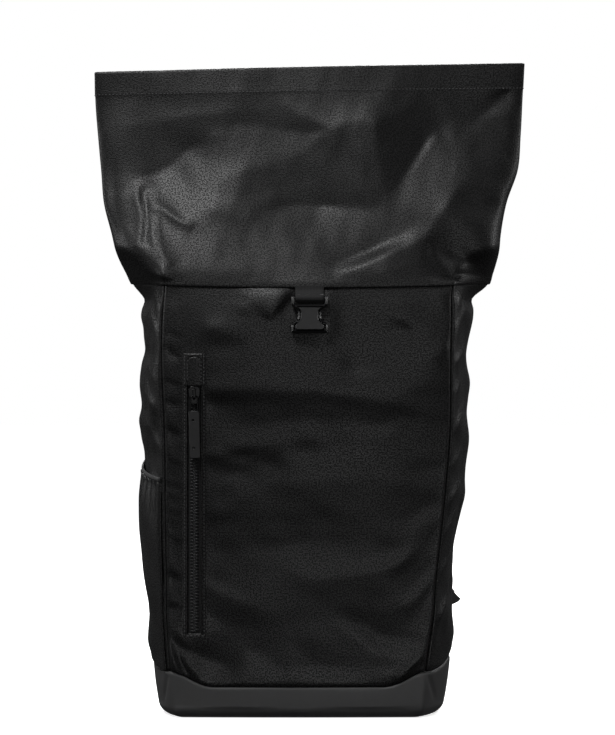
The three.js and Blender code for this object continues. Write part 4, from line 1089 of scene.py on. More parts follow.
# %% Folds of the side panels
SIDE_FOLDS = {
    RIGHT: [
        Fold(4, 14, 18, 4, [(-20, 350), (20, 352), (60, 345)]),
        Fold(-4, 12, 14, 4, [(-40, 312), (10, 322), (60, 310)]),
        Fold(5, 14, 14, 4, [(60, 250), (10, 240), (-30, 224)]),
        Fold(4, 12, 14, 3, [(-20, 134), (16, 144), (56, 150)]),
        Fold(3, 10, 12, 3, [(60, 96), (20, 88), (-20, 80)]),
    ],
    LEFT: [
        Fold(4, 14, 18, 4, [(20, 350), (-10, 352), (-50, 345)]),
        Fold(4, 12, 16, 4, [(30, 420), (0, 425), (-40, 420)]),
        Fold(-4, 12, 14, 4, [(-62, 380), (-10, 388), (30, 380)]),
        Fold(4, 12, 14, 4, [(-60, 305), (0, 312), (30, 308)]),
    ],
}
DRAWN_FOLDS = {
    RIGHT: [
        (428, 3.6), (402, 2.6), (371, 4.0), (338, 3.0), (296, 3.6),
        (262, 2.8), (221, 4.2), (186, 3.4), (150, 2.6), (98, 4.0),
    ],
    LEFT: [
        (424, 3.2), (398, 4.0), (352, 3.0), (318, 3.8), (276, 3.2),
        (238, 4.0), (199, 3.4), (172, 2.6), (128, 3.8), (92, 3.0),
    ],
}
for panel, folds in DRAWN_FOLDS.items():
    for k, (z, lift) in enumerate(folds):
        reach = 30 + 9 * math.sin(2.1 * k)
        drawn_path = [(-72, z), (-60, z + 0.4 * reach), (-42, z + reach)]
        SIDE_FOLDS[panel].append(Fold(0.8 * lift, 4, 7, 1.2, drawn_path))
print("folds of the sides:", {panel: len(folds) for panel, folds in SIDE_FOLDS.items()})

# %% Side panels
SIDE_COLUMNS, SIDE_ROWS, SIDE_SLACK = 56, 120, 0.8


def side_grid(panel):
    ease = (1 - np.cos(np.pi * np.linspace(0, 1, SIDE_COLUMNS))) / 2
    share = lerp(np.linspace(0, 1, SIDE_COLUMNS), ease, 0.85)
    s, v = np.meshgrid(panel + np.clip(share, 1e-4, 1 - 1e-4), np.linspace(0, 1, SIDE_ROWS))
    z = lerp(boot_seam(s) + SEAM_GAP, collar_seam(s) - SEAM_GAP, v)
    grid = girth(s, z)
    depth = grid[..., 1]
    t = s - panel
    from_seam = np.minimum(t, 1 - t) * (depth.max() - depth.min())
    from_boot = z - boot_seam(s)
    held = smooth(from_seam, 0, 10) * smooth(from_boot, 0, 8) * smooth(collar_seam(s) - z, 0, 14)
    wavy = 0.9 * waviness(depth, z, 80, 20 + panel) + 0.4 * waviness(depth, z, 30, 30 + panel)
    rise = (SIDE_SLACK * relief(SIDE_FOLDS[panel], depth, z) + wavy) * held
    rise = rise + seam_turn(from_seam) + BOOT_TURN * seam_turn(from_boot)
    return grid + outward(s, z) * rise[..., None]


for panel, hand in ((RIGHT, "right"), (LEFT, "left")):
    side_mesh = wall(f"side_{hand}", side_grid(panel), PANEL_CLOTH)
    place_piece(f"side_{hand}", side_mesh, [BLACK_CLOTH], [f"side_panel_{hand}"])
    print("side", hand, "faces:", len(side_mesh.polygons))

# %% [markdown]
# ## Boot
# The bag stands in a boot of coated cloth: a flat floor pressed up into low walls, with a dart sewn at
# each front corner. Its finish is smooth and matt, with a fine pebble. A bevelled box would be simpler, but
# it wouldn't meet the cloth all round. So rings of the girth's own points run from the middle of the floor
# outwards, round the edge and up to the seam.

# %% Coated finish
def coated_finish():
    finish = Finish("coated_boot", Specular_IOR_Level=0.4)
    place = finish.place()
    pebble = finish.noise(place, 1400.0, 2.0, 0.6)
    cloud = finish.noise(place, 18.0, 3.0)
    scuff = finish.noise(place, 160.0, 4.0, 0.7)
    tone = cloud * 0.5 + scuff * 0.35 + pebble * 0.15
    grain = finish.bump(pebble, 0.25, 0.0002, under=finish.bump(cloud, 0.2, 0.0015))
    colour = finish.mix(tone, (0.06, 0.06, 0.061), (0.082, 0.082, 0.083))
    return finish.surface(Base_Color=colour, Roughness=0.46 + scuff * 0.14 - cloud * 0.08, Normal=grain)


COATED_BOOT = coated_finish()
print("finish:", COATED_BOOT.name)

# %% Boot
BOOT_ROUND, BOOT_SKIN = 11, 3
DART_LEAN, DART_WIDTH, DART_DEPTH = 0.2, 0.022, 1.6


def boot_stops():
    panels = [(FRONT, 90), (RIGHT, 56), (BACK, 60), (LEFT, 56)]
    return np.concatenate([panel + np.linspace(0, 1, count, endpoint=False) for panel, count in panels])


def boot_grid():
    stops = boot_stops()
    edge = girth(stops, 0.0)
    sole = edge * (1 - BOOT_ROUND / np.abs(edge).max(0).clip(1))
    rings = [sole * share for share in (0.0, 0.25, 0.5, 0.75, 0.93)]
    for angle in np.linspace(0, np.pi / 2, 7):
        ring = lerp(sole, girth(stops, BOOT_ROUND * (1 - np.cos(angle))), np.sin(angle))
        ring[:, 2] = BOOT_ROUND * (1 - np.cos(angle))
        rings.append(ring)
    for share in np.linspace(0, 1, 20)[1:]:
        z = lerp(BOOT_ROUND, boot_seam(stops) - SEAM_GAP, share)
        from_top = boot_seam(stops) - z
        lean = DART_LEAN * from_top / BOOT_CORNER
        to_dart = np.minimum(np.abs(stops - RIGHT - lean), np.abs(stops - 4 + lean))
        dart = np.exp(-((to_dart / DART_WIDTH) ** 2))
        rise = BOOT_TURN * seam_turn(from_top) - DART_DEPTH * dart * smooth(share, 0.05, 0.4)
        rise = rise + 0.5 * waviness(stops * 140, z, 90, 41)
        rings.append(girth(stops, z) + outward(stops, z) * rise[:, None])
    return np.array(rings)


def weld(mesh, reach=1e-6):
    """Joins points that lie on each other and turns every face outwards."""
    shape = bmesh.new()
    shape.from_mesh(mesh)
    bmesh.ops.remove_doubles(shape, verts=shape.verts, dist=reach)
    bmesh.ops.dissolve_degenerate(shape, edges=shape.edges, dist=reach)
    bmesh.ops.recalc_face_normals(shape, faces=shape.faces)
    shape.to_mesh(mesh)
    shape.free()
    return mesh


boot_mesh = weld(wall("boot", boot_grid(), BOOT_SKIN, closed=True))
place_piece("boot", boot_mesh, [COATED_BOOT], ["base_boot"])
print("boot faces:", len(boot_mesh.polygons))

# %% [markdown]
# ## Stretch pocket
# A pocket of the same cloth is sewn low on the left side. Its slanted edge is bound with elastic tape, which
# gathers the cloth below it. It is one more wall, set over the side panel and bulged out a little: a cloth
# simulation would slide off the panel, and the gathers are easier to place as waves.

# %% Webbing finish
def webbing_finish(name, dark, light, rib):
    finish = Finish(name, Sheen_Weight=0.1, Sheen_Roughness=0.5, Specular_IOR_Level=0.35)
    flat = finish.flat()
    across, along = finish.parts(flat)
    turn = 2 * math.pi / rib
    ribs = finish.sine(along * turn + finish.sine(across * (turn * 0.5)) * 1.2) * 0.5 + 0.5
    lanes = finish.sine(across * (turn * 0.5)) * 0.5 + 0.5
    fuzz = finish.noise(flat, 1500.0, 3.0, 0.7)
    tone = ribs * 0.4 + fuzz * 0.4 + lanes * 0.2
    bumps = finish.bump(ribs * 0.7 + lanes * 0.3 + fuzz * 0.3, 0.6, 0.0003)
    colour = finish.mix(tone, dark, light)
    return finish.surface(Base_Color=colour, Roughness=0.55 + fuzz * 0.2, Normal=bumps)


WEBBING_TAPE = webbing_finish("webbing_tape", (0.007, 0.007, 0.0075), (0.028, 0.028, 0.029), 0.0016)
print("finish:", WEBBING_TAPE.name)

# %% Pocket
POCKET_TOP_BACK, POCKET_TOP_FRONT, POCKET_SAG = 286, 247, 6
POCKET_SIDE, POCKET_CLOTH, POCKET_BULGE = 0.03, 1.6, 8
POCKET_MOUTH_SHARE, POCKET_BELLY = 0.16, 2
BINDING, BINDING_CLOTH, TRIM_GAP = 5, 2.6, 0.4
GATHERS, GATHER_DEPTH = 13, 0.9


def pocket_edge(t):
    return lerp(POCKET_TOP_BACK, POCKET_TOP_FRONT, t) - POCKET_SAG * np.sin(np.pi * t)


def pocket_bulge(u, v):
    belly = np.sin(np.pi * v**POCKET_BELLY)
    across = np.sqrt(np.sin(np.pi * np.clip(u, 0, 1)))
    return POCKET_BULGE * across * np.maximum(belly, POCKET_MOUTH_SHARE * v)


def pocket_grid(columns=60, rows=90):
    u, v = np.meshgrid(np.linspace(0, 1, columns), np.linspace(0, 1, rows))
    s = LEFT + lerp(POCKET_SIDE, 1 - POCKET_SIDE, u)
    z = lerp(boot_seam(s) + SEAM_GAP, pocket_edge(s - LEFT), v)
    gather = GATHER_DEPTH * np.sin(2 * np.pi * GATHERS * u + 2 * np.sin(5 * u)) * smooth(v, 0.7, 0.97)
    slack = 1.2 * waviness(u * 130, z, 70, 51) * smooth(v, 0, 0.1) * smooth(np.minimum(u, 1 - u), 0, 0.1)
    rise = TRIM_GAP + POCKET_CLOTH + pocket_bulge(u, v) + np.maximum(gather, -1.0) + np.maximum(slack, -1.2)
    return girth(s, z) + outward(s, z) * rise[..., None]


def binding_grid(columns=70, rows=9):
    u, v = np.meshgrid(np.linspace(0, 1, columns), np.linspace(0, 1, rows))
    s = LEFT + lerp(POCKET_SIDE, 1 - POCKET_SIDE, u)
    z = pocket_edge(s - LEFT) + SEAM_GAP + v * BINDING
    rise = TRIM_GAP + pocket_bulge(u, np.ones_like(u)) + BINDING_CLOTH * (0.6 + 0.4 * np.sin(np.pi * v))
    return girth(s, z) + outward(s, z) * rise[..., None]


pocket_mesh = wall("pocket", pocket_grid(), POCKET_CLOTH)
pocket = place_piece("pocket", pocket_mesh, [BLACK_CLOTH], ["side_pocket_left"])
binding_mesh = wall("pocket_binding", binding_grid(), BINDING_CLOTH * 0.6)
place_piece("pocket_binding", binding_mesh, [WEBBING_TAPE], ["side_pocket_binding"])
print("pocket faces:", len(pocket_mesh.polygons))

# %% [markdown]
# ## Back pad
# The back panel is foam under an airy mesh cloth, quilted along a few sewn lines. It is made as a flat
# pad whose face swells between the lines. Blender's cloth simulation does the swelling: the sewn points are
# pinned, air pressure pushes the rest, and a cap stops any point that goes too far.

# %% Air mesh finish
def air_mesh_finish():
    finish = Finish("air_mesh", Sheen_Weight=0.1, Sheen_Roughness=0.5, Specular_IOR_Level=0.3)
    flat = finish.flat()
    sockets = {"Vector": flat, "Scale": 420.0, "Randomness": 0.25}
    holes = finish.node("ShaderNodeTexVoronoi", {"feature": "DISTANCE_TO_EDGE"}, sockets)
    fuzz = finish.noise(flat, 1300.0, 3.0, 0.7)
    rim = finish.node("ShaderNodeMapRange", None, {"Value": holes, "From Max": 0.35})
    tone = (1 - rim) * 0.6 + fuzz * 0.4
    bumps = finish.bump((1 - rim) + fuzz * 0.25, 0.7, 0.0006)
    colour = finish.mix(tone, (0.006, 0.006, 0.0065), (0.036, 0.036, 0.038))
    return finish.surface(Base_Color=colour, Roughness=0.62 + fuzz * 0.2, Normal=bumps)


AIR_MESH = air_mesh_finish()
print("finish:", AIR_MESH.name)

# %% Swelling a pad
PUFF_FRAMES = 16


def points_of(mesh):
    flat_list = np.zeros(len(mesh.vertices) * 3)
    mesh.vertices.foreach_get("co", flat_list)
    return flat_list.reshape(-1, 3)


def swell_cloth(piece, pins, pressure):
    cloth = piece.modifiers.new("swell", "CLOTH")
    cloth.settings.quality = 4
    cloth.settings.mass = 0.2
    cloth.settings.tension_stiffness = 12
    cloth.settings.compression_stiffness = 12
    cloth.settings.bending_stiffness = 0.6
    cloth.settings.use_pressure = True
    cloth.settings.uniform_pressure_force = pressure
    cloth.settings.effector_weights.gravity = 0
    cloth.settings.vertex_group_mass = pins.name
    cloth.point_cache.frame_start = 1
    cloth.point_cache.frame_end = PUFF_FRAMES
    return cloth


def puff(piece, pinned, pressure, cap):
    """Blows a closed pad up between its pinned points, and keeps every move under cap metres."""
    mesh = piece.data
    rest = points_of(mesh)
    pins = piece.vertex_groups.new(name="sewn")
    pins.add([int(i) for i in np.flatnonzero(pinned)], 1.0, "REPLACE")
    cloth = swell_cloth(piece, pins, pressure)
    for number in range(1, PUFF_FRAMES + 1):
        scene.frame_set(number)
    swollen = piece.evaluated_get(bpy.context.evaluated_depsgraph_get())
    step = points_of(swollen.data) - rest
    length = np.maximum(np.linalg.norm(step, axis=1, keepdims=True), 1e-9)
    settled = rest + step * np.minimum(1, cap / length)
    piece.modifiers.remove(cloth)
    piece.vertex_groups.remove(pins)
    mesh.vertices.foreach_set("co", settled.reshape(-1))
    mesh.update()
    scene.frame_set(1)
    print(piece.name, "swelled by up to", round(float(length.max()) / MM, 1), "mm, capped at", cap / MM)


# %% Back pad
BACK_PAD, BACK_SWELL = 4.5, 0.0025
QUILT_ACROSS = (-62, 6, 74)
QUILT_UP = (110, 300)
BACK_COLUMNS, BACK_ROWS = 84, 100


def back_grid():
    s, v = np.meshgrid(BACK + np.linspace(1e-4, 1 - 1e-4, BACK_COLUMNS), np.linspace(0, 1, BACK_ROWS))
    z = lerp(boot_seam(s) + SEAM_GAP, collar_seam(s) - SEAM_GAP, v)
    grid = girth(s, z)
    x = grid[..., 0]
    from_side = np.minimum(x - x.min(1, keepdims=True), x.max(1, keepdims=True) - x)
    edge = np.minimum(from_side, v * (1 - v) * 400)
    quilted = (z > QUILT_UP[0]) & (z < QUILT_UP[1])
    from_line = np.min([np.abs(x - line) for line in QUILT_ACROSS], axis=0)
    quilt = np.where(quilted, from_line, 1e3)
    sunk = -2.2 + 1.4 * smooth(edge, 0, 16) - 2.0 * np.exp(-((quilt / 5) ** 2)) + seam_turn(edge) * 0.7
    sewn = (edge < 5) | (quilt < 2.2)
    return grid + outward(s, z) * sunk[..., None], sewn


back_points, back_sewn = back_grid()
back_mesh = wall("back_pad", back_points, BACK_PAD)
back_pad = place_piece("back_pad", back_mesh, [AIR_MESH], ["back_panel"])
back_pinned = np.ones(len(back_mesh.vertices), bool)
back_pinned[: back_sewn.size] = back_sewn.reshape(-1)
puff(back_pad, back_pinned, 3.0, BACK_SWELL)
print("back pad faces:", len(back_mesh.polygons))

# %% [markdown]
# ## Bands of webbing
# Straps, tabs and the handle are flat woven bands. A bevelled curve could give one, but it twists at tight
# folds. So a band is a loft: the same flat section with round edges, set square to a path at each step,
# with its width along a side that is given.

# %% Lofts
def loft(name, rings):
    count, around, _ = rings.shape
    index = np.arange(count)[:, None] * around + np.arange(around + 1) % around
    flat = grid_flat(rings, True)
    faces = quads_of(index).tolist() + [index[0, :-1].tolist(), index[-1, :-1].tolist()]
    uvs = np.concatenate([quads_of(flat).reshape(-1, 2), flat[0, :-1], flat[-1, :-1]])
    mesh = mesh_from(name, rings.reshape(-1, 3), faces, uvs)
    shape = bmesh.new()
    shape.from_mesh(mesh)
    bmesh.ops.recalc_face_normals(shape, faces=shape.faces)
    shape.to_mesh(mesh)
    shape.free()
    return mesh


print("loft tool ready")


# %% Bands and tubes
def band_section(width, thick, across=10):
    half = width / 2 - thick / 2
    run = np.linspace(-half, half, across)
    cap = np.linspace(np.pi / 2, -np.pi / 2, 6)[1:-1]
    right = np.stack([half + np.cos(cap) * thick / 2, np.sin(cap) * thick / 2], -1)
    top = np.stack([run, np.full(across, thick / 2)], -1)
    return np.concatenate([top, right, -top, -right])


def band(name, path, side, width, thick):
    path = np.asarray(path, float)
    along = unit(np.gradient(path, axis=0))
    side = np.broadcast_to(np.asarray(side, float), path.shape)
    side = unit(side - along * (side * along).sum(-1, keepdims=True))
    face = np.cross(along, side)
    widths = np.broadcast_to(np.asarray(width, float), (len(path),))
    thicks = np.broadcast_to(np.asarray(thick, float), (len(path),))
    rings = []
    for point, across, out, w, t in zip(path, side, face, widths, thicks):
        rings.append(point + band_section(w, t) @ np.stack([across, out]))
    return loft(name, np.array(rings))


def tube(name, path, radius, around=12):
    path = np.asarray(path, float)
    along = unit(np.gradient(path, axis=0))
    helper = np.where(np.abs(along[:, :1]) < 0.9, [[1.0, 0, 0]], [[0, 1.0, 0]])
    side = unit(np.cross(along, helper))
    up = np.cross(side, along)
    turn = np.linspace(0, 2 * np.pi, around, endpoint=False)
    ring = np.cos(turn)[None, :, None] * side[:, None] + np.sin(turn)[None, :, None] * up[:, None]
    return loft(name, path[:, None] + ring * radius)


print("band section has", len(band_section(30, 1.6)), "points")

# %% [markdown]
# ## Moulded pieces
# Buckles, adjusters and the zip's slider are moulded plates: an outline with holes, a thickness and a
# rounded edge, or a plain chamfer with no steps. Blender's filled curves make exactly that. The curve is
# turned into a mesh at once, and the edges beside each flat face are kept sharp, so that the flats stay flat.

# %% Plastic finish
def plastic_finish(name, dark, light, roughness, specular=0.5):
    finish = Finish(name, Specular_IOR_Level=specular)
    place = finish.place()
    grain = finish.noise(place, 2600.0, 2.0, 0.6)
    cloud = finish.noise(place, 90.0, 3.0)
    colour = finish.mix(cloud * 0.7 + grain * 0.3, dark, light)
    bumps = finish.bump(grain, 0.3, 0.0001)
    return finish.surface(Base_Color=colour, Roughness=roughness + grain * 0.1 - cloud * 0.05, Normal=bumps)


BLACK_PLASTIC = plastic_finish("black_plastic", (0.004, 0.004, 0.0045), (0.009, 0.009, 0.01), 0.3)
ZIP_TEETH = plastic_finish("zip_teeth_finish", (0.012, 0.012, 0.0125), (0.026, 0.026, 0.027), 0.34)
SLIDER_METAL = plastic_finish(
    "slider_black", (0.002, 0.002, 0.0022), (0.005, 0.005, 0.0055), 0.12, specular=0.2
)
PULL_RUBBER = plastic_finish("pull_rubber_finish", (0.009, 0.009, 0.0095), (0.02, 0.02, 0.021), 0.46)
print("moulded finishes:", BLACK_PLASTIC.name, ZIP_TEETH.name, SLIDER_METAL.name, PULL_RUBBER.name)


# %% Moulding from outlines
def rounded(corners, radius, steps=5):
    """A closed outline with each corner turned to a short curve."""
    corners = np.asarray(corners, float)
    points = []
    for before, corner, after in zip(np.roll(corners, 1, 0), corners, np.roll(corners, -1, 0)):
        back, ahead = before - corner, after - corner
        reach = min(radius, 0.45 * np.linalg.norm(back), 0.45 * np.linalg.norm(ahead))
        start, end = corner + unit(back) * reach, corner + unit(ahead) * reach
        for t in np.linspace(0, 1, steps):
            points.append((1 - t) ** 2 * start + 2 * t * (1 - t) * corner + t * t * end)
    return np.array(points)


def box_outline(left, low, right, high, radius):
    return rounded([(left, low), (right, low), (right, high), (left, high)], radius)


def circle(x, z, radius, count=16):
    turn = np.linspace(0, 2 * np.pi, count, endpoint=False)
    return np.stack([x + radius * np.cos(turn), z + radius * np.sin(turn)], -1)


# %% Filled curves
CHAMFER_ANGLE = 0.65


def keep_flats_sharp(mesh):
    shape = bmesh.new()
    shape.from_mesh(mesh)
    for line in shape.edges:
        flats = [abs(face.normal.z) > 0.999 for face in line.link_faces]
        line.smooth = len(set(flats)) < 2 and line.calc_face_angle(0) < CHAMFER_ANGLE
    shape.to_mesh(mesh)
    shape.free()


def mesh_as_shown(carrier):
    """The mesh of an object with its modifiers or its curve worked out."""
    shown = carrier.evaluated_get(bpy.context.evaluated_depsgraph_get())
    return bpy.data.meshes.new_from_object(shown)


def moulded(name, outlines, thick, edge, place, steps=2):
    curve = bpy.data.curves.new(name, "CURVE")
    curve.dimensions = "2D"
    curve.fill_mode = "BOTH"
    curve.extrude = (thick / 2 - edge) * MM
    curve.bevel_depth = edge * MM
    curve.bevel_resolution = steps
    curve.offset = -edge * MM
    for outline in outlines:
        spline = curve.splines.new("POLY")
        spline.points.add(len(outline) - 1)
        for point, (x, z) in zip(spline.points, outline):
            point.co = (x * MM, z * MM, 0, 1)
        spline.use_cyclic_u = True
    carrier = bpy.data.objects.new(name, curve)
    scene.collection.objects.link(carrier)
    mesh = mesh_as_shown(carrier)
    bpy.data.objects.remove(carrier)
    weld(mesh, 1e-5)
    keep_flats_sharp(mesh)
    mesh.transform(place)
    return mesh


# %% Placing and joining
def frame_of(origin, across, up):
    """Places a plate: across is its x, up its y, and its thickness lies along the third direction."""
    across, up = Vector(across).normalized(), Vector(up).normalized()
    out = across.cross(up)
    turn = Matrix((across, up, out)).transposed().to_4x4()
    return Matrix.Translation(Vector(origin) * MM) @ turn


def joined(name, *meshes):
    shape = bmesh.new()
    for mesh in meshes:
        shape.from_mesh(mesh)
    whole = bpy.data.meshes.new(name)
    shape.to_mesh(whole)
    shape.free()
    return whole


print("moulding tools ready")

# %% [markdown]
# ## Thread
# A row of stitches is a chain of small pebbles of thread, each pressed a little into the cloth. One unit
# pebble is copied along a path with numpy, so a whole seam is a single mesh. The zip's teeth are made
# the same way, from a squarer pebble.

# %% Pebbles
def pebble(squareness, around=8, rings=3):
    lift = np.linspace(-np.pi / 2, np.pi / 2, rings + 2)[1:-1]
    turn = np.linspace(0, 2 * np.pi, around, endpoint=False)

    def press(w):
        return np.sign(w) * np.abs(w) ** squareness

    x = press(np.cos(lift))[:, None] * press(np.cos(turn))
    y = press(np.cos(lift))[:, None] * press(np.sin(turn))
    z = np.broadcast_to(press(np.sin(lift))[:, None], x.shape)
    points = np.concatenate([np.stack([x, y, z], -1).reshape(-1, 3), [[0, 0, -1], [0, 0, 1]]])
    index = np.arange(rings)[:, None] * around + np.arange(around + 1) % around
    faces = quads_of(index).tolist()
    low, high = rings * around, rings * around + 1
    for c in range(around):
        faces.append([int(index[0, c + 1]), int(index[0, c]), low])
        faces.append([int(index[-1, c]), int(index[-1, c + 1]), high])
    return points, faces


def pebbles(name, centres, axes, squareness):
    """A mesh of pebbles: axes holds each one's three half sizes as vectors."""
    points, faces = pebble(squareness)
    placed = centres[:, None] + np.einsum("pk,nkc->npc", points, axes)
    mesh = bpy.data.meshes.new(name)
    every = [[i + k * len(points) for i in face] for k in range(len(centres)) for face in faces]
    mesh.from_pydata((placed.reshape(-1, 3) * MM).tolist(), [], every)
    return mesh


# %% Rows of stitches
STITCH_LENGTH, STITCH_PITCH, STITCH_WIDE, STITCH_HIGH = 2.5, 3.9, 1.0, 0.8


def thread_finish():
    finish = Finish("black_thread", Specular_IOR_Level=0.4)
    place = finish.place()
    twist = finish.noise(place, 2200.0, 2.0)
    colour = finish.mix(twist, (0.06, 0.06, 0.062), (0.14, 0.14, 0.143))
    bumps = finish.bump(twist, 0.4, 0.0002)
    return finish.surface(Base_Color=colour, Roughness=0.45 + twist * 0.15, Normal=bumps)


BLACK_THREAD = thread_finish()


def distances(path):
    """How far along a path each of its points lies."""
    return np.concatenate([[0], np.cumsum(np.linalg.norm(np.diff(path, axis=0), axis=1))])


def at_distances(path, values, where):
    """Values given at a path's points, read at distances along it."""
    reached = distances(path)
    return np.stack([np.interp(where, reached, values[:, k]) for k in range(3)], -1)


def stitch_row(name, path, facing):
    """Stitches along a path of points; facing is the direction out of the cloth at each point."""
    path, facing = np.asarray(path, float), np.broadcast_to(np.asarray(facing, float), np.shape(path))
    middles = np.arange(STITCH_PITCH / 2, distances(path)[-1], STITCH_PITCH)
    ahead, behind = at_distances(path, path, middles + 0.8), at_distances(path, path, middles - 0.8)
    along = unit(ahead - behind)
    out = at_distances(path, facing, middles)
    out = unit(out - along * (out * along).sum(-1, keepdims=True))
    side = np.cross(along, out)
    halves = np.stack([along * STITCH_LENGTH / 2, side * STITCH_WIDE / 2, out * STITCH_HIGH / 2], 1)
    mesh = pebbles(name, at_distances(path, path, middles), halves, 0.8)
    return place_piece(name, mesh, [BLACK_THREAD])


hem_row = int(round((1 - HEM / (RIM - BODY_TOP + COLLAR_LAP)) * (COLLAR_ROWS - 1))) + 1
hem_out = grid_normals(collar_points, True)[hem_row]
hem_path = collar_points[hem_row] + hem_out * 0.1
stitch_row("hem_stitches", np.concatenate([hem_path, hem_path[:1]]), np.concatenate([hem_out, hem_out[:1]]))
print("hem sewn at row", hem_row)

# %% [markdown]
# ## Zip
# The front pocket's zip has a woven tape, two rows of moulded teeth that interlock, a slider with a bridge
# and a rubber pull on a wire eye. A stitched cap of cloth, the garage, hides the slider's parking place.
# The pull rides on its own body, because it swings on the bridge. An array could repeat one tooth up a
# straight line, but the panel bows, so each tooth is set on the panel's own curve.

# %% Zip tape and teeth
TAPE_HALF, TAPE_SINK, TAPE_CLOTH = 6.3, 2.1, 1.0
TEETH_LOW, TEETH_HIGH, TEETH_PITCH = 92, 348, 3.4
TOOTH = (2.5, 1.15, 0.85)
TOOTH_HEAD = (0.9, 1.0, 1.15)
TOOTH_OUT, TOOTH_FACE = 2.2, -0.6


def front_face(x, z):
    return girth(front_stop(x, z), z)


def tape_grid():
    offset, z = np.meshgrid(np.linspace(-TAPE_HALF, TAPE_HALF, 9), np.linspace(88, 382, 90))
    grid = front_face(ZIP_X + offset, z)
    grid[..., 1] += TAPE_SINK
    return grid


def teeth_of(side):
    z = np.arange(TEETH_LOW, TEETH_HIGH, TEETH_PITCH) + (TEETH_PITCH / 2 if side > 0 else 0)
    middle = front_face(np.full_like(z, ZIP_X), z) + np.array([0, TOOTH_FACE + TOOTH[1], 0])
    bodies = middle + np.array([side * TOOTH_OUT, 0, 0])
    heads = middle + np.array([-side * 0.35, -0.1, 0])
    axes = [np.tile(np.diag(size), (len(z), 1, 1)) for size in (TOOTH, TOOTH_HEAD)]
    return np.concatenate([bodies, heads]), np.concatenate(axes)


tape_mesh = wall("tape", tape_grid(), TAPE_CLOTH)
place_piece("tape", tape_mesh, [WEBBING_TAPE], ["zip_tape"])
left_teeth, right_teeth = teeth_of(-1), teeth_of(1)
teeth_mesh = pebbles(
    "teeth",
    np.concatenate([left_teeth[0], right_teeth[0]]),
    np.concatenate([left_teeth[1], right_teeth[1]]),
    0.45,
)
place_piece("teeth", teeth_mesh, [ZIP_TEETH], ["zip_chain"])
print("zip from", TEETH_LOW, "to", TEETH_HIGH, "mm,", len(teeth_mesh.polygons), "faces of teeth")

# %% Slider
SLIDER_TOP, SLIDER_SEAT = 349.4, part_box("zip_slider")[1].y / MM
SLIDER_PLATE = 2.6
SLIDER_HALF = ((3.9, 0), (6.3, -2.6), (6.3, -8.5), (5.1, -13.4), (3.9, -19))
BRIDGE_WIDE, BRIDGE_WIRE = 3.2, 1.5
BRIDGE_PATH = [
    (2.0, -2.8), (4.6, -2.8), (6.4, -3.4), (6.85, -5.2),
    (6.85, -10.8), (6.4, -12.6), (4.6, -13.2), (2, -13.2),
]


def mirrored(half):
    """A whole outline from its right half."""
    return list(half) + [(-x, z) for x, z in reversed(half)]


slider_outline = rounded(mirrored(SLIDER_HALF), 1.6)
slider_place = frame_of((ZIP_X, SLIDER_SEAT - SLIDER_PLATE / 2, SLIDER_TOP), (1, 0, 0), (0, 0, 1))
slider_plate = moulded("slider_plate", [slider_outline], SLIDER_PLATE, 0.8, slider_place)
bridge_path = [(ZIP_X, SLIDER_SEAT - out, SLIDER_TOP + z) for out, z in smooth_path(BRIDGE_PATH, 4)]
bridge = band("slider_bridge", bridge_path, (1, 0, 0), BRIDGE_WIDE, BRIDGE_WIRE)
slider_mesh = joined("slider", slider_plate, bridge)
place_piece("slider", slider_mesh, [SLIDER_METAL], ["zip_slider"])
print("slider faces:", len(slider_mesh.polygons))

# %% Pull
PULL_HINGE = np.array([-113, -82.0984, 338.6])
EYE_HALF, EYE_WIRE, EYE_DROP = 3.7, 0.9, 16
PULL_HALF, PULL_END, PULL_THICK = 5.75, -65, 2.2
PULL_DIMPLES = ((-1.4, -25), (-1.4, -54))
PULL_LEAN, PULL_ASIDE = -1.6, -0.6
eye_path = [
    (-EYE_HALF, -EYE_DROP - 2), (-EYE_HALF, -8), (-EYE_HALF, -1.6), (-EYE_HALF + 1.1, -0.15),
    (0, 0), (EYE_HALF - 1.1, -0.15), (EYE_HALF, -1.6), (EYE_HALF, -8), (EYE_HALF, -EYE_DROP - 2),
]
eye_points = [PULL_HINGE + (x, 0, z) for x, z in smooth_path(eye_path, 5)]
eye_mesh = tube("pull_eye", eye_points, EYE_WIRE)
place_piece("pull_eye", eye_mesh, [SLIDER_METAL], body="pull")
pull_outline = box_outline(-PULL_HALF, PULL_END, PULL_HALF, -EYE_DROP + 0.8, 2.6)
pull_holes = [circle(x, z, 0.75) for x, z in PULL_DIMPLES]
lean = math.radians(PULL_LEAN)
pull_up = (math.sin(lean), 0, math.cos(lean))
pull_across = (math.cos(lean), 0, -math.sin(lean))
pull_place = frame_of(PULL_HINGE + (PULL_ASIDE, 0, 0), pull_across, pull_up)
pull_mesh = moulded("pull_tab", [pull_outline, *pull_holes], PULL_THICK, 0.7, pull_place, 0)
place_piece("pull_tab", pull_mesh, [PULL_RUBBER], ["zip_pull"], body="pull")
print("pull", PULL_THICK, "mm thick, hinge at", PULL_HINGE.tolist())

# %% Garage
GARAGE_LOW, GARAGE_TOP, GARAGE_HALF, GARAGE_CLOTH = 350, 384, 11, 1.2
ARCH_HALF, ARCH_SPRING, ARCH_RISE = 7.2, 374, 6.6


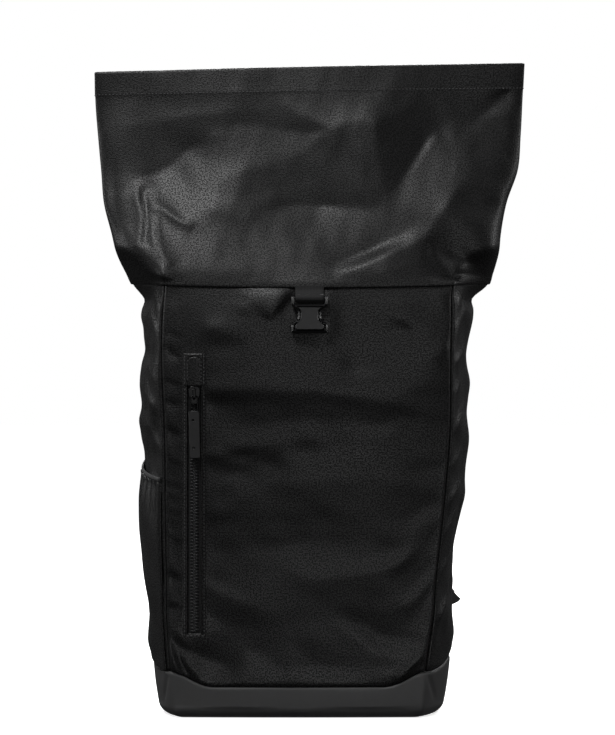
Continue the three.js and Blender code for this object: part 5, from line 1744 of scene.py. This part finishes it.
def garage_grid():
    offset, z = np.meshgrid(np.linspace(-1, 1, 45), np.linspace(GARAGE_LOW, GARAGE_TOP, 60))
    grid = front_face(ZIP_X + offset * GARAGE_HALF, z)
    edge = np.minimum(np.minimum(1 - np.abs(offset), 0.4) * GARAGE_HALF, GARAGE_TOP - z)
    arch = np.hypot(offset * GARAGE_HALF, np.maximum(z - ARCH_SPRING, 0) * 1.1)
    beside = np.abs(offset) * GARAGE_HALF - ZIP_STITCH + 0.6
    pressed = 0.9 * groove(arch - ARCH_HALF) + 0.8 * groove(beside)
    lift = SEAM_GAP + GARAGE_CLOTH * smooth(edge, -0.5, 1.6) + 0.7 * (1 - offset**2) - pressed
    grid[..., 1] -= lift
    return grid


garage_mesh = wall("garage", garage_grid(), GARAGE_CLOTH * 0.8)
place_piece("garage", garage_mesh, [BLACK_CLOTH], ["zip_garage"])
print("garage faces:", len(garage_mesh.polygons))

# %% Stitches of the zip
TOWARDS_VIEWER = (0, -1, 0)
for hand, side in (("left", -1), ("right", 1)):
    z = np.linspace(ZIP_BOTTOM, ZIP_TOP - 1, 120)
    row = front_face(ZIP_X + side * ZIP_STITCH, z)
    row[:, 1] -= np.where(z > GARAGE_LOW, 0.7, -0.5)
    stitch_row(f"zip_stitches_{hand}", row, TOWARDS_VIEWER)
low_row = front_face(np.linspace(ZIP_X - 9, ZIP_X + 9, 12), np.full(12, ZIP_BOTTOM + 1.0))
stitch_row("zip_stitches_low", low_row, TOWARDS_VIEWER)
turn = np.linspace(0, np.pi, 24)
arch_x = ARCH_HALF * np.concatenate([[1, 1], np.cos(turn), [-1, -1]])
arch_z = np.concatenate([[353, 363], ARCH_SPRING + ARCH_RISE * np.sin(turn), [363, 353]])
arch_row = front_face(ZIP_X + arch_x, arch_z)
arch_row[:, 1] -= 1.2
stitch_row("garage_stitches", arch_row, TOWARDS_VIEWER)
print("zip and garage sewn")

# %% [markdown]
# ## Buckle
# The roll-top is closed by a side-release buckle. Its socket hangs on a webbing tab under the collar:
# two horns carry a bar for the tab, a waist leaves room for the fingers, and the mouth below takes the plug.
# The hollow is cut with a Boolean, because that is how the real core leaves the mould.

# %% Socket
BUCKLE_ORIGIN, BUCKLE_TILT = (8, -82.836, 441), -0.0928
BUCKLE_THICK, BUCKLE_EDGE = 10, 1.8
SOCKET_HALF = (
    (15.5, -6.4), (15.5, 3), (19, 3), (19, -7.5), (12.3, -12.5), (12.3, -22), (19, -27), (19, -36),
)
SOCKET_FACE_HALF = ((13.2, -9.2), (9.2, -13.2), (9.2, -22.6), (14.6, -27.6), (14.6, -33.2))
SOCKET_MOUTH = ((-15.4, -37, -3.2), (15.4, -23, 3.2))
SOCKET_WAIST = ((-10, -24, -3.2), (10, -13.5, 3.2))
FACE_THICK, FACE_EDGE, FACE_OUT = 2.2, 0.7, 4.9
BAR_HALF, BAR_RADIUS = 16.5, 1.9
upright = Matrix.Rotation(BUCKLE_TILT + math.pi / 2, 4, "X")
socket_place = Matrix.Translation(Vector(BUCKLE_ORIGIN) * MM) @ upright


def block(low, high):
    """A plain box to cut with, from one corner to the other."""
    corners = [(x, y, z) for x in (low[0], high[0]) for y in (low[1], high[1]) for z in (low[2], high[2])]
    faces = [(0, 1, 3, 2), (4, 6, 7, 5), (0, 4, 5, 1), (2, 3, 7, 6), (0, 2, 6, 4), (1, 5, 7, 3)]
    mesh = bpy.data.meshes.new("core")
    mesh.from_pydata([[c * MM for c in corner] for corner in corners], [], faces)
    return mesh


def cut(mesh, *cores):
    piece = bpy.data.objects.new("being_cut", mesh)
    scene.collection.objects.link(piece)
    helpers = []
    for core in cores:
        helper = bpy.data.objects.new("core", core)
        scene.collection.objects.link(helper)
        step = piece.modifiers.new("core", "BOOLEAN")
        step.operation = "DIFFERENCE"
        step.object = helper
        helpers.append(helper)
    result = mesh_as_shown(piece)
    for helper in [piece, *helpers]:
        bpy.data.objects.remove(helper)
    return result


socket_outline = rounded(mirrored(SOCKET_HALF), 2.2)
socket_shell = moulded("socket_shell", [socket_outline], BUCKLE_THICK, BUCKLE_EDGE, Matrix.Identity(4), 0)
socket_shell = cut(socket_shell, block(*SOCKET_MOUTH), block(*SOCKET_WAIST))
face_outline = rounded(mirrored(SOCKET_FACE_HALF), 1.6)
face_place = Matrix.Translation((0, 0, FACE_OUT * MM))
face_plate = moulded("socket_face", [face_outline], FACE_THICK, FACE_EDGE, face_place, 0)
bar = tube("socket_bar", [(x, 0, 0) for x in np.linspace(-BAR_HALF, BAR_HALF, 12)], BAR_RADIUS, 16)
socket_mesh = joined("socket", socket_shell, face_plate, bar)
socket_mesh.transform(socket_place)
socket = place_piece("socket", socket_mesh, [BLACK_PLASTIC], ["buckle_socket"])
print("socket faces:", len(socket_mesh.polygons))

# %% Buckle tab
TAB_WIDTH, WEBBING_THICK = 30, 1.6
TAB_PATH = [
    (-7.6, 14), (-7.4, 8), (-6.6, 4), (-4.6, 1.7), (-2.95, 0.2), (-2.6, -1.6), (0, -3.1), (2.6, -1.6),
    (2.95, 0.8), (2.3, 2.6), (0, 3.8), (-3.4, 4.5), (-5.5, 6.6), (-6.4, 10), (-6.8, 14),
]
tab_points = np.array(BUCKLE_ORIGIN) + [(0, -out, z) for out, z in smooth_path(TAB_PATH, 5)]
tab_thick = [lerp(WEBBING_THICK, 0.6, float(smooth(z, 447, 453))) for _, _, z in tab_points]
tab_mesh = band("tab", tab_points, (1, 0, 0), TAB_WIDTH, tab_thick)
place_piece("tab", tab_mesh, [WEBBING_TAPE], ["buckle_tab"])
print("tab of", TAB_WIDTH, "mm webbing")

# %% [markdown]
# ## Closure strap and plug
# The buckle's other half hangs at the back: a strap sewn below the collar, folded round the plug's bar, and
# the plug with its two springy arms and a tongue between. A hanging strap could be simulated, but it only
# falls straight, so it is a band along a drawn fold, and the locks' webbing uses the same fold.

# %% Closure strap
BACK_MIDDLE = 6
CLOSURE_TOP, CLOSURE_LOW, CLOSURE_BEND, CLOSURE_FOLD = 414, 118, 3.5, 45


def back_face(x, z):
    right, left = girth(2.0, z)[..., 0], girth(3 - 1e-6, z)[..., 0]
    return girth(BACK + (right - x) / (right - left), z)[..., 1]


def hairpin(radius, long_leg, short_leg, steps=60):
    """A band folded round a bar, in depth and height: long leg at positive depth, short leg at negative."""
    middle = radius + WEBBING_THICK / 2
    rise = np.linspace(-long_leg, -2, steps)
    turn = np.linspace(0, np.pi, 14)
    drop = np.linspace(-2, -short_leg, 16)
    depth = np.concatenate([np.full(steps, middle), middle * np.cos(turn), np.full(16, -middle)])
    height = np.concatenate([rise, middle * np.sin(turn), drop])
    return depth, height


depth, height = hairpin(CLOSURE_BEND, CLOSURE_TOP - CLOSURE_LOW, CLOSURE_FOLD)
closure_y = float(back_face(BACK_MIDDLE, CLOSURE_TOP)) + SEAM_GAP + CLOSURE_BEND + WEBBING_THICK
closure_points = np.stack([np.full_like(depth, BACK_MIDDLE), closure_y - depth, CLOSURE_LOW - height], -1)
closure_mesh = band("closure", closure_points, (1, 0, 0), TAB_WIDTH, WEBBING_THICK)
place_piece("closure", closure_mesh, [WEBBING_TAPE], ["closure_strap"])
print("closure strap from", CLOSURE_TOP, "to", CLOSURE_LOW, "mm")

# %% Plug
PLUG_HALF = (
    (19, -2), (19, 15), (14.4, 15.2), (14, 40), (11.5, 42),
    (9.5, 39), (9.7, 15), (3.5, 15), (3.2, 40), (2, 42),
)
PLUG_SLOT, PLUG_THICK = (-15.5, 2, 15.5, 8), 5
plug_place = frame_of((BACK_MIDDLE, closure_y, CLOSURE_LOW), (1, 0, 0), (0, 0, -1))
plug_outlines = [rounded(mirrored(PLUG_HALF), 1.4), box_outline(*PLUG_SLOT, 0.8)]
plug_mesh = moulded("plug", plug_outlines, PLUG_THICK, 0.9, plug_place)
place_piece("plug", plug_mesh, [BLACK_PLASTIC], ["buckle_plug"])
print("plug faces:", len(plug_mesh.polygons))

# %% [markdown]
# ## Harness
# Two padded straps curve down the back to ladder locks. Webbing from each lock runs to a wing of cloth in
# the side seam. Each strap could be a flat shape bent by a curve modifier, but a pad laid out row by row
# along its path keeps the taper and the bound edge, and then swells a little like the back pad.

# %% Harness geometry
STRAP_TOP_Z, STRAP_SPREAD, STRAP_WIDTH, STRAP_END_WIDTH = 423, 56, 62, 42
STRAP_END_X, STRAP_END_STAND, STRAP_END_Z = 102, 16, 172
BOW_OUT, BOW_INWARD, BOW_SHARE, STRAP_LEAD, STRAP_TAPER = 60, 4, 0.3, 90, 0.45
STRAP_PAD, STRAP_EDGE, STRAP_SWELL = 8, 3.6, 0.002
LOCK_THICK, LOCK_RAIL, LOCK_SLOT, LOCK_HALF = 4.4, 5, 6.5, 18
WING_Z, WING_ROOT, WING_REACH, WING_DROOP, WING_NOSE, WING_CLOTH = 122, 62, 36, 8, 3, 2.4
STRAP_WEB, TAIL, WING_SHIFT = 25, 64, 5


def harness(hand):
    """Where one side's wing, lock and strap are. hand is 1 for the right side and -1 for the left."""
    stop = 2.0 if hand > 0 else 3.0
    low, high = girth(stop, WING_Z - WING_ROOT / 2), girth(stop, WING_Z + WING_ROOT / 2)
    tip = np.array([girth(stop, WING_Z)[0] + hand * WING_REACH, WING_Z - WING_DROOP])
    wing_y = high[1] + TRIM_GAP + WING_CLOTH / 2
    nose = tip + np.array([WING_SHIFT, 0])
    behind = nose[0] - hand * WING_NOSE
    wing = [(low[0] + hand * TRIM_GAP, low[2]), (behind, nose[1] - WING_NOSE), tuple(nose)]
    wing += [(behind, nose[1] + WING_NOSE), (high[0] + hand * TRIM_GAP, high[2])]
    bend = math.hypot(LOCK_THICK, LOCK_RAIL) / 2 + SEAM_GAP
    foot_y = high[1] + 2 * TRIM_GAP + WING_CLOTH + bend + WEBBING_THICK
    foot = np.array([tip[0] - hand * WING_REACH / 2, foot_y, tip[1] + WING_DROOP])
    top_y = float(back_face(BACK_MIDDLE + hand * (STRAP_SPREAD - STRAP_WIDTH / 2), STRAP_TOP_Z)) + TRIM_GAP
    top = np.array([BACK_MIDDLE + hand * STRAP_SPREAD, top_y, STRAP_TOP_Z])
    end = np.array([BACK_MIDDLE + hand * STRAP_END_X, top_y + STRAP_END_STAND, STRAP_END_Z])
    up = unit(end - foot)
    to_bag = unit(np.array([0, -1, 0]) - up * -up[1])
    lock = end - up * (1.5 * LOCK_RAIL + LOCK_SLOT + SEAM_GAP)
    run = np.linalg.norm(foot - end) - np.linalg.norm(end - lock)
    return {
        "wing": wing, "wing_y": wing_y, "top": top, "end": end, "up": up, "to_bag": to_bag,
        "across": np.cross(to_bag, up), "lock": lock, "bend": bend, "run": run,
    }


# %% Padded straps
def strap_path(hand, place, steps=90):
    end = place["end"] + place["to_bag"] * STRAP_EDGE / 2
    lift = place["top"] + np.array([-hand * BOW_INWARD, BOW_OUT, (STRAP_END_Z - STRAP_TOP_Z) * BOW_SHARE])
    lead = end + place["up"] * STRAP_LEAD
    t = np.linspace(0, 1, 400)[:, None]
    upper = (1 - t) ** 3 * place["top"] + 3 * t * (1 - t) ** 2 * lift
    curve = upper + 3 * t * t * (1 - t) * lead + t**3 * end
    return at_distances(curve, curve, np.linspace(0, distances(curve)[-1], steps))


def strap_width(v):
    """Width from the top of the strap, at 0, to its end, at 1."""
    return lerp(STRAP_WIDTH, STRAP_END_WIDTH, smooth(v, STRAP_TAPER, 1))


def strap_frame(path):
    along = unit(np.gradient(path, axis=0))
    side = unit(np.cross(along, [0, 1, 0]))
    return side, unit(np.cross(side, along))


def strap_grid(path, columns=26):
    side, out = strap_frame(path)
    v = np.linspace(0, 1, len(path))
    width = strap_width(v) - 3
    u = np.linspace(-0.5, 0.5, columns)
    full = np.minimum(1, 8 * (0.25 - u**2))[None, :] * np.minimum(1, 12 * v * (1 - v))[:, None]
    pad = lerp(STRAP_EDGE, STRAP_PAD - 1.5, full)
    aside = side[:, None] * (u[None, :] * width[:, None])[..., None]
    grid = path[:, None] + aside + out[:, None] * pad[..., None]
    return grid, pad, full


def sew_strap(name, path):
    strap_points, strap_thick, full = strap_grid(path)
    mesh = wall(f"strap_{name}", strap_points, strap_thick)
    strap = place_piece(f"strap_{name}", mesh, [AIR_MESH], [f"shoulder_strap_{name}"])
    sewn = np.ones(len(mesh.vertices), bool)
    sewn[: 2 * full.size] = np.tile(full.reshape(-1) < 0.25, 2)
    puff(strap, sewn, 2.5, STRAP_SWELL)


def bind_strap(name, path):
    side, out = strap_frame(path)
    half = (strap_width(np.linspace(0, 1, len(path))[:, None]) - 4) / 2
    one, other = [path + side * half * way + out * STRAP_EDGE / 2 for way in (-1, 1)]
    trim = band(f"strap_binding_{name}", np.concatenate([one, other[::-1]]), (0, 1, 0), STRAP_EDGE + 1.4, 2.2)
    place_piece(f"strap_binding_{name}", trim, [WEBBING_TAPE])


# %% Locks, webbing and wings
def hang_lock(name, place):
    reach = 1.5 * LOCK_RAIL + LOCK_SLOT
    slot_half = STRAP_WEB / 2 + 0.8
    outlines = [box_outline(-LOCK_HALF, -reach, LOCK_HALF, reach, 3)]
    for low in (LOCK_RAIL / 2, -LOCK_RAIL / 2 - LOCK_SLOT):
        outlines.append(box_outline(-slot_half, low, slot_half, low + LOCK_SLOT, 1))
    lock_place = frame_of(place["lock"], place["across"], place["up"])
    mesh = moulded(f"lock_{name}", outlines, LOCK_THICK, 1.0, lock_place)
    place_piece(f"lock_{name}", mesh, [BLACK_PLASTIC], [f"strap_adjuster_{name}"])


def thread_webbing(name, place):
    depth, height = hairpin(place["bend"], place["run"], TAIL, 24)
    points = place["lock"] + depth[:, None] * place["to_bag"] + height[:, None] * place["up"]
    mesh = band(f"web_{name}", points, place["across"], STRAP_WEB, WEBBING_THICK)
    place_piece(f"web_{name}", mesh, [WEBBING_TAPE], [f"strap_webbing_{name}"])


def sew_wing(name, place):
    wing_place = frame_of((0, place["wing_y"], 0), (1, 0, 0), (0, 0, 1))
    mesh = moulded(f"wing_{name}", [rounded(place["wing"], 2)], WING_CLOTH, 0.8, wing_place)
    place_piece(f"wing_{name}", mesh, [BLACK_CLOTH], [f"strap_anchor_{name}"])


for hand, name in ((1, "right"), (-1, "left")):
    place = harness(hand)
    path = strap_path(hand, place)
    sew_strap(name, path)
    bind_strap(name, path)
    hang_lock(name, place)
    thread_webbing(name, place)
    sew_wing(name, place)
    print("harness", name, "strap length", round(float(distances(path)[-1])), "mm")

# %% Handle
HANDLE_SPAN, HANDLE_Z, HANDLE_BOW, HANDLE_CLOTH = 104, 440, 30, 2.6
t = np.linspace(0, 1, 60)
handle_y = float(back_face(BACK_MIDDLE, HANDLE_Z)) + SEAM_GAP + HANDLE_CLOTH / 2
handle_points = np.stack(
    [
        BACK_MIDDLE + (t - 0.5) * HANDLE_SPAN,
        handle_y + HANDLE_BOW * (1 - np.cos(2 * np.pi * t)) / 2,
        np.full_like(t, HANDLE_Z),
    ],
    -1,
)
handle_mesh = band("handle", handle_points, (0, 0, 1), STRAP_WEB, HANDLE_CLOTH)
place_piece("handle", handle_mesh, [WEBBING_TAPE], ["haul_handle"])
print("handle spans", HANDLE_SPAN, "mm")

# %% [markdown]
# ## Sizes and the end
# The flat sizes that the side panels, the pocket and the collar were cut to are worked out, and the collar's
# is printed.

def flat_size(grid, closed=False):
    flat = grid_flat(grid, closed)
    return float(flat[-1, -1, 0] * MM), float(flat[-1, -1, 1] * MM)


for panel, hand in ((RIGHT, "right"), (LEFT, "left")):
    flat_size(side_grid(panel))
flat_size(pocket_grid())
print("collar cut from", flat_size(collar_points, True), "m")
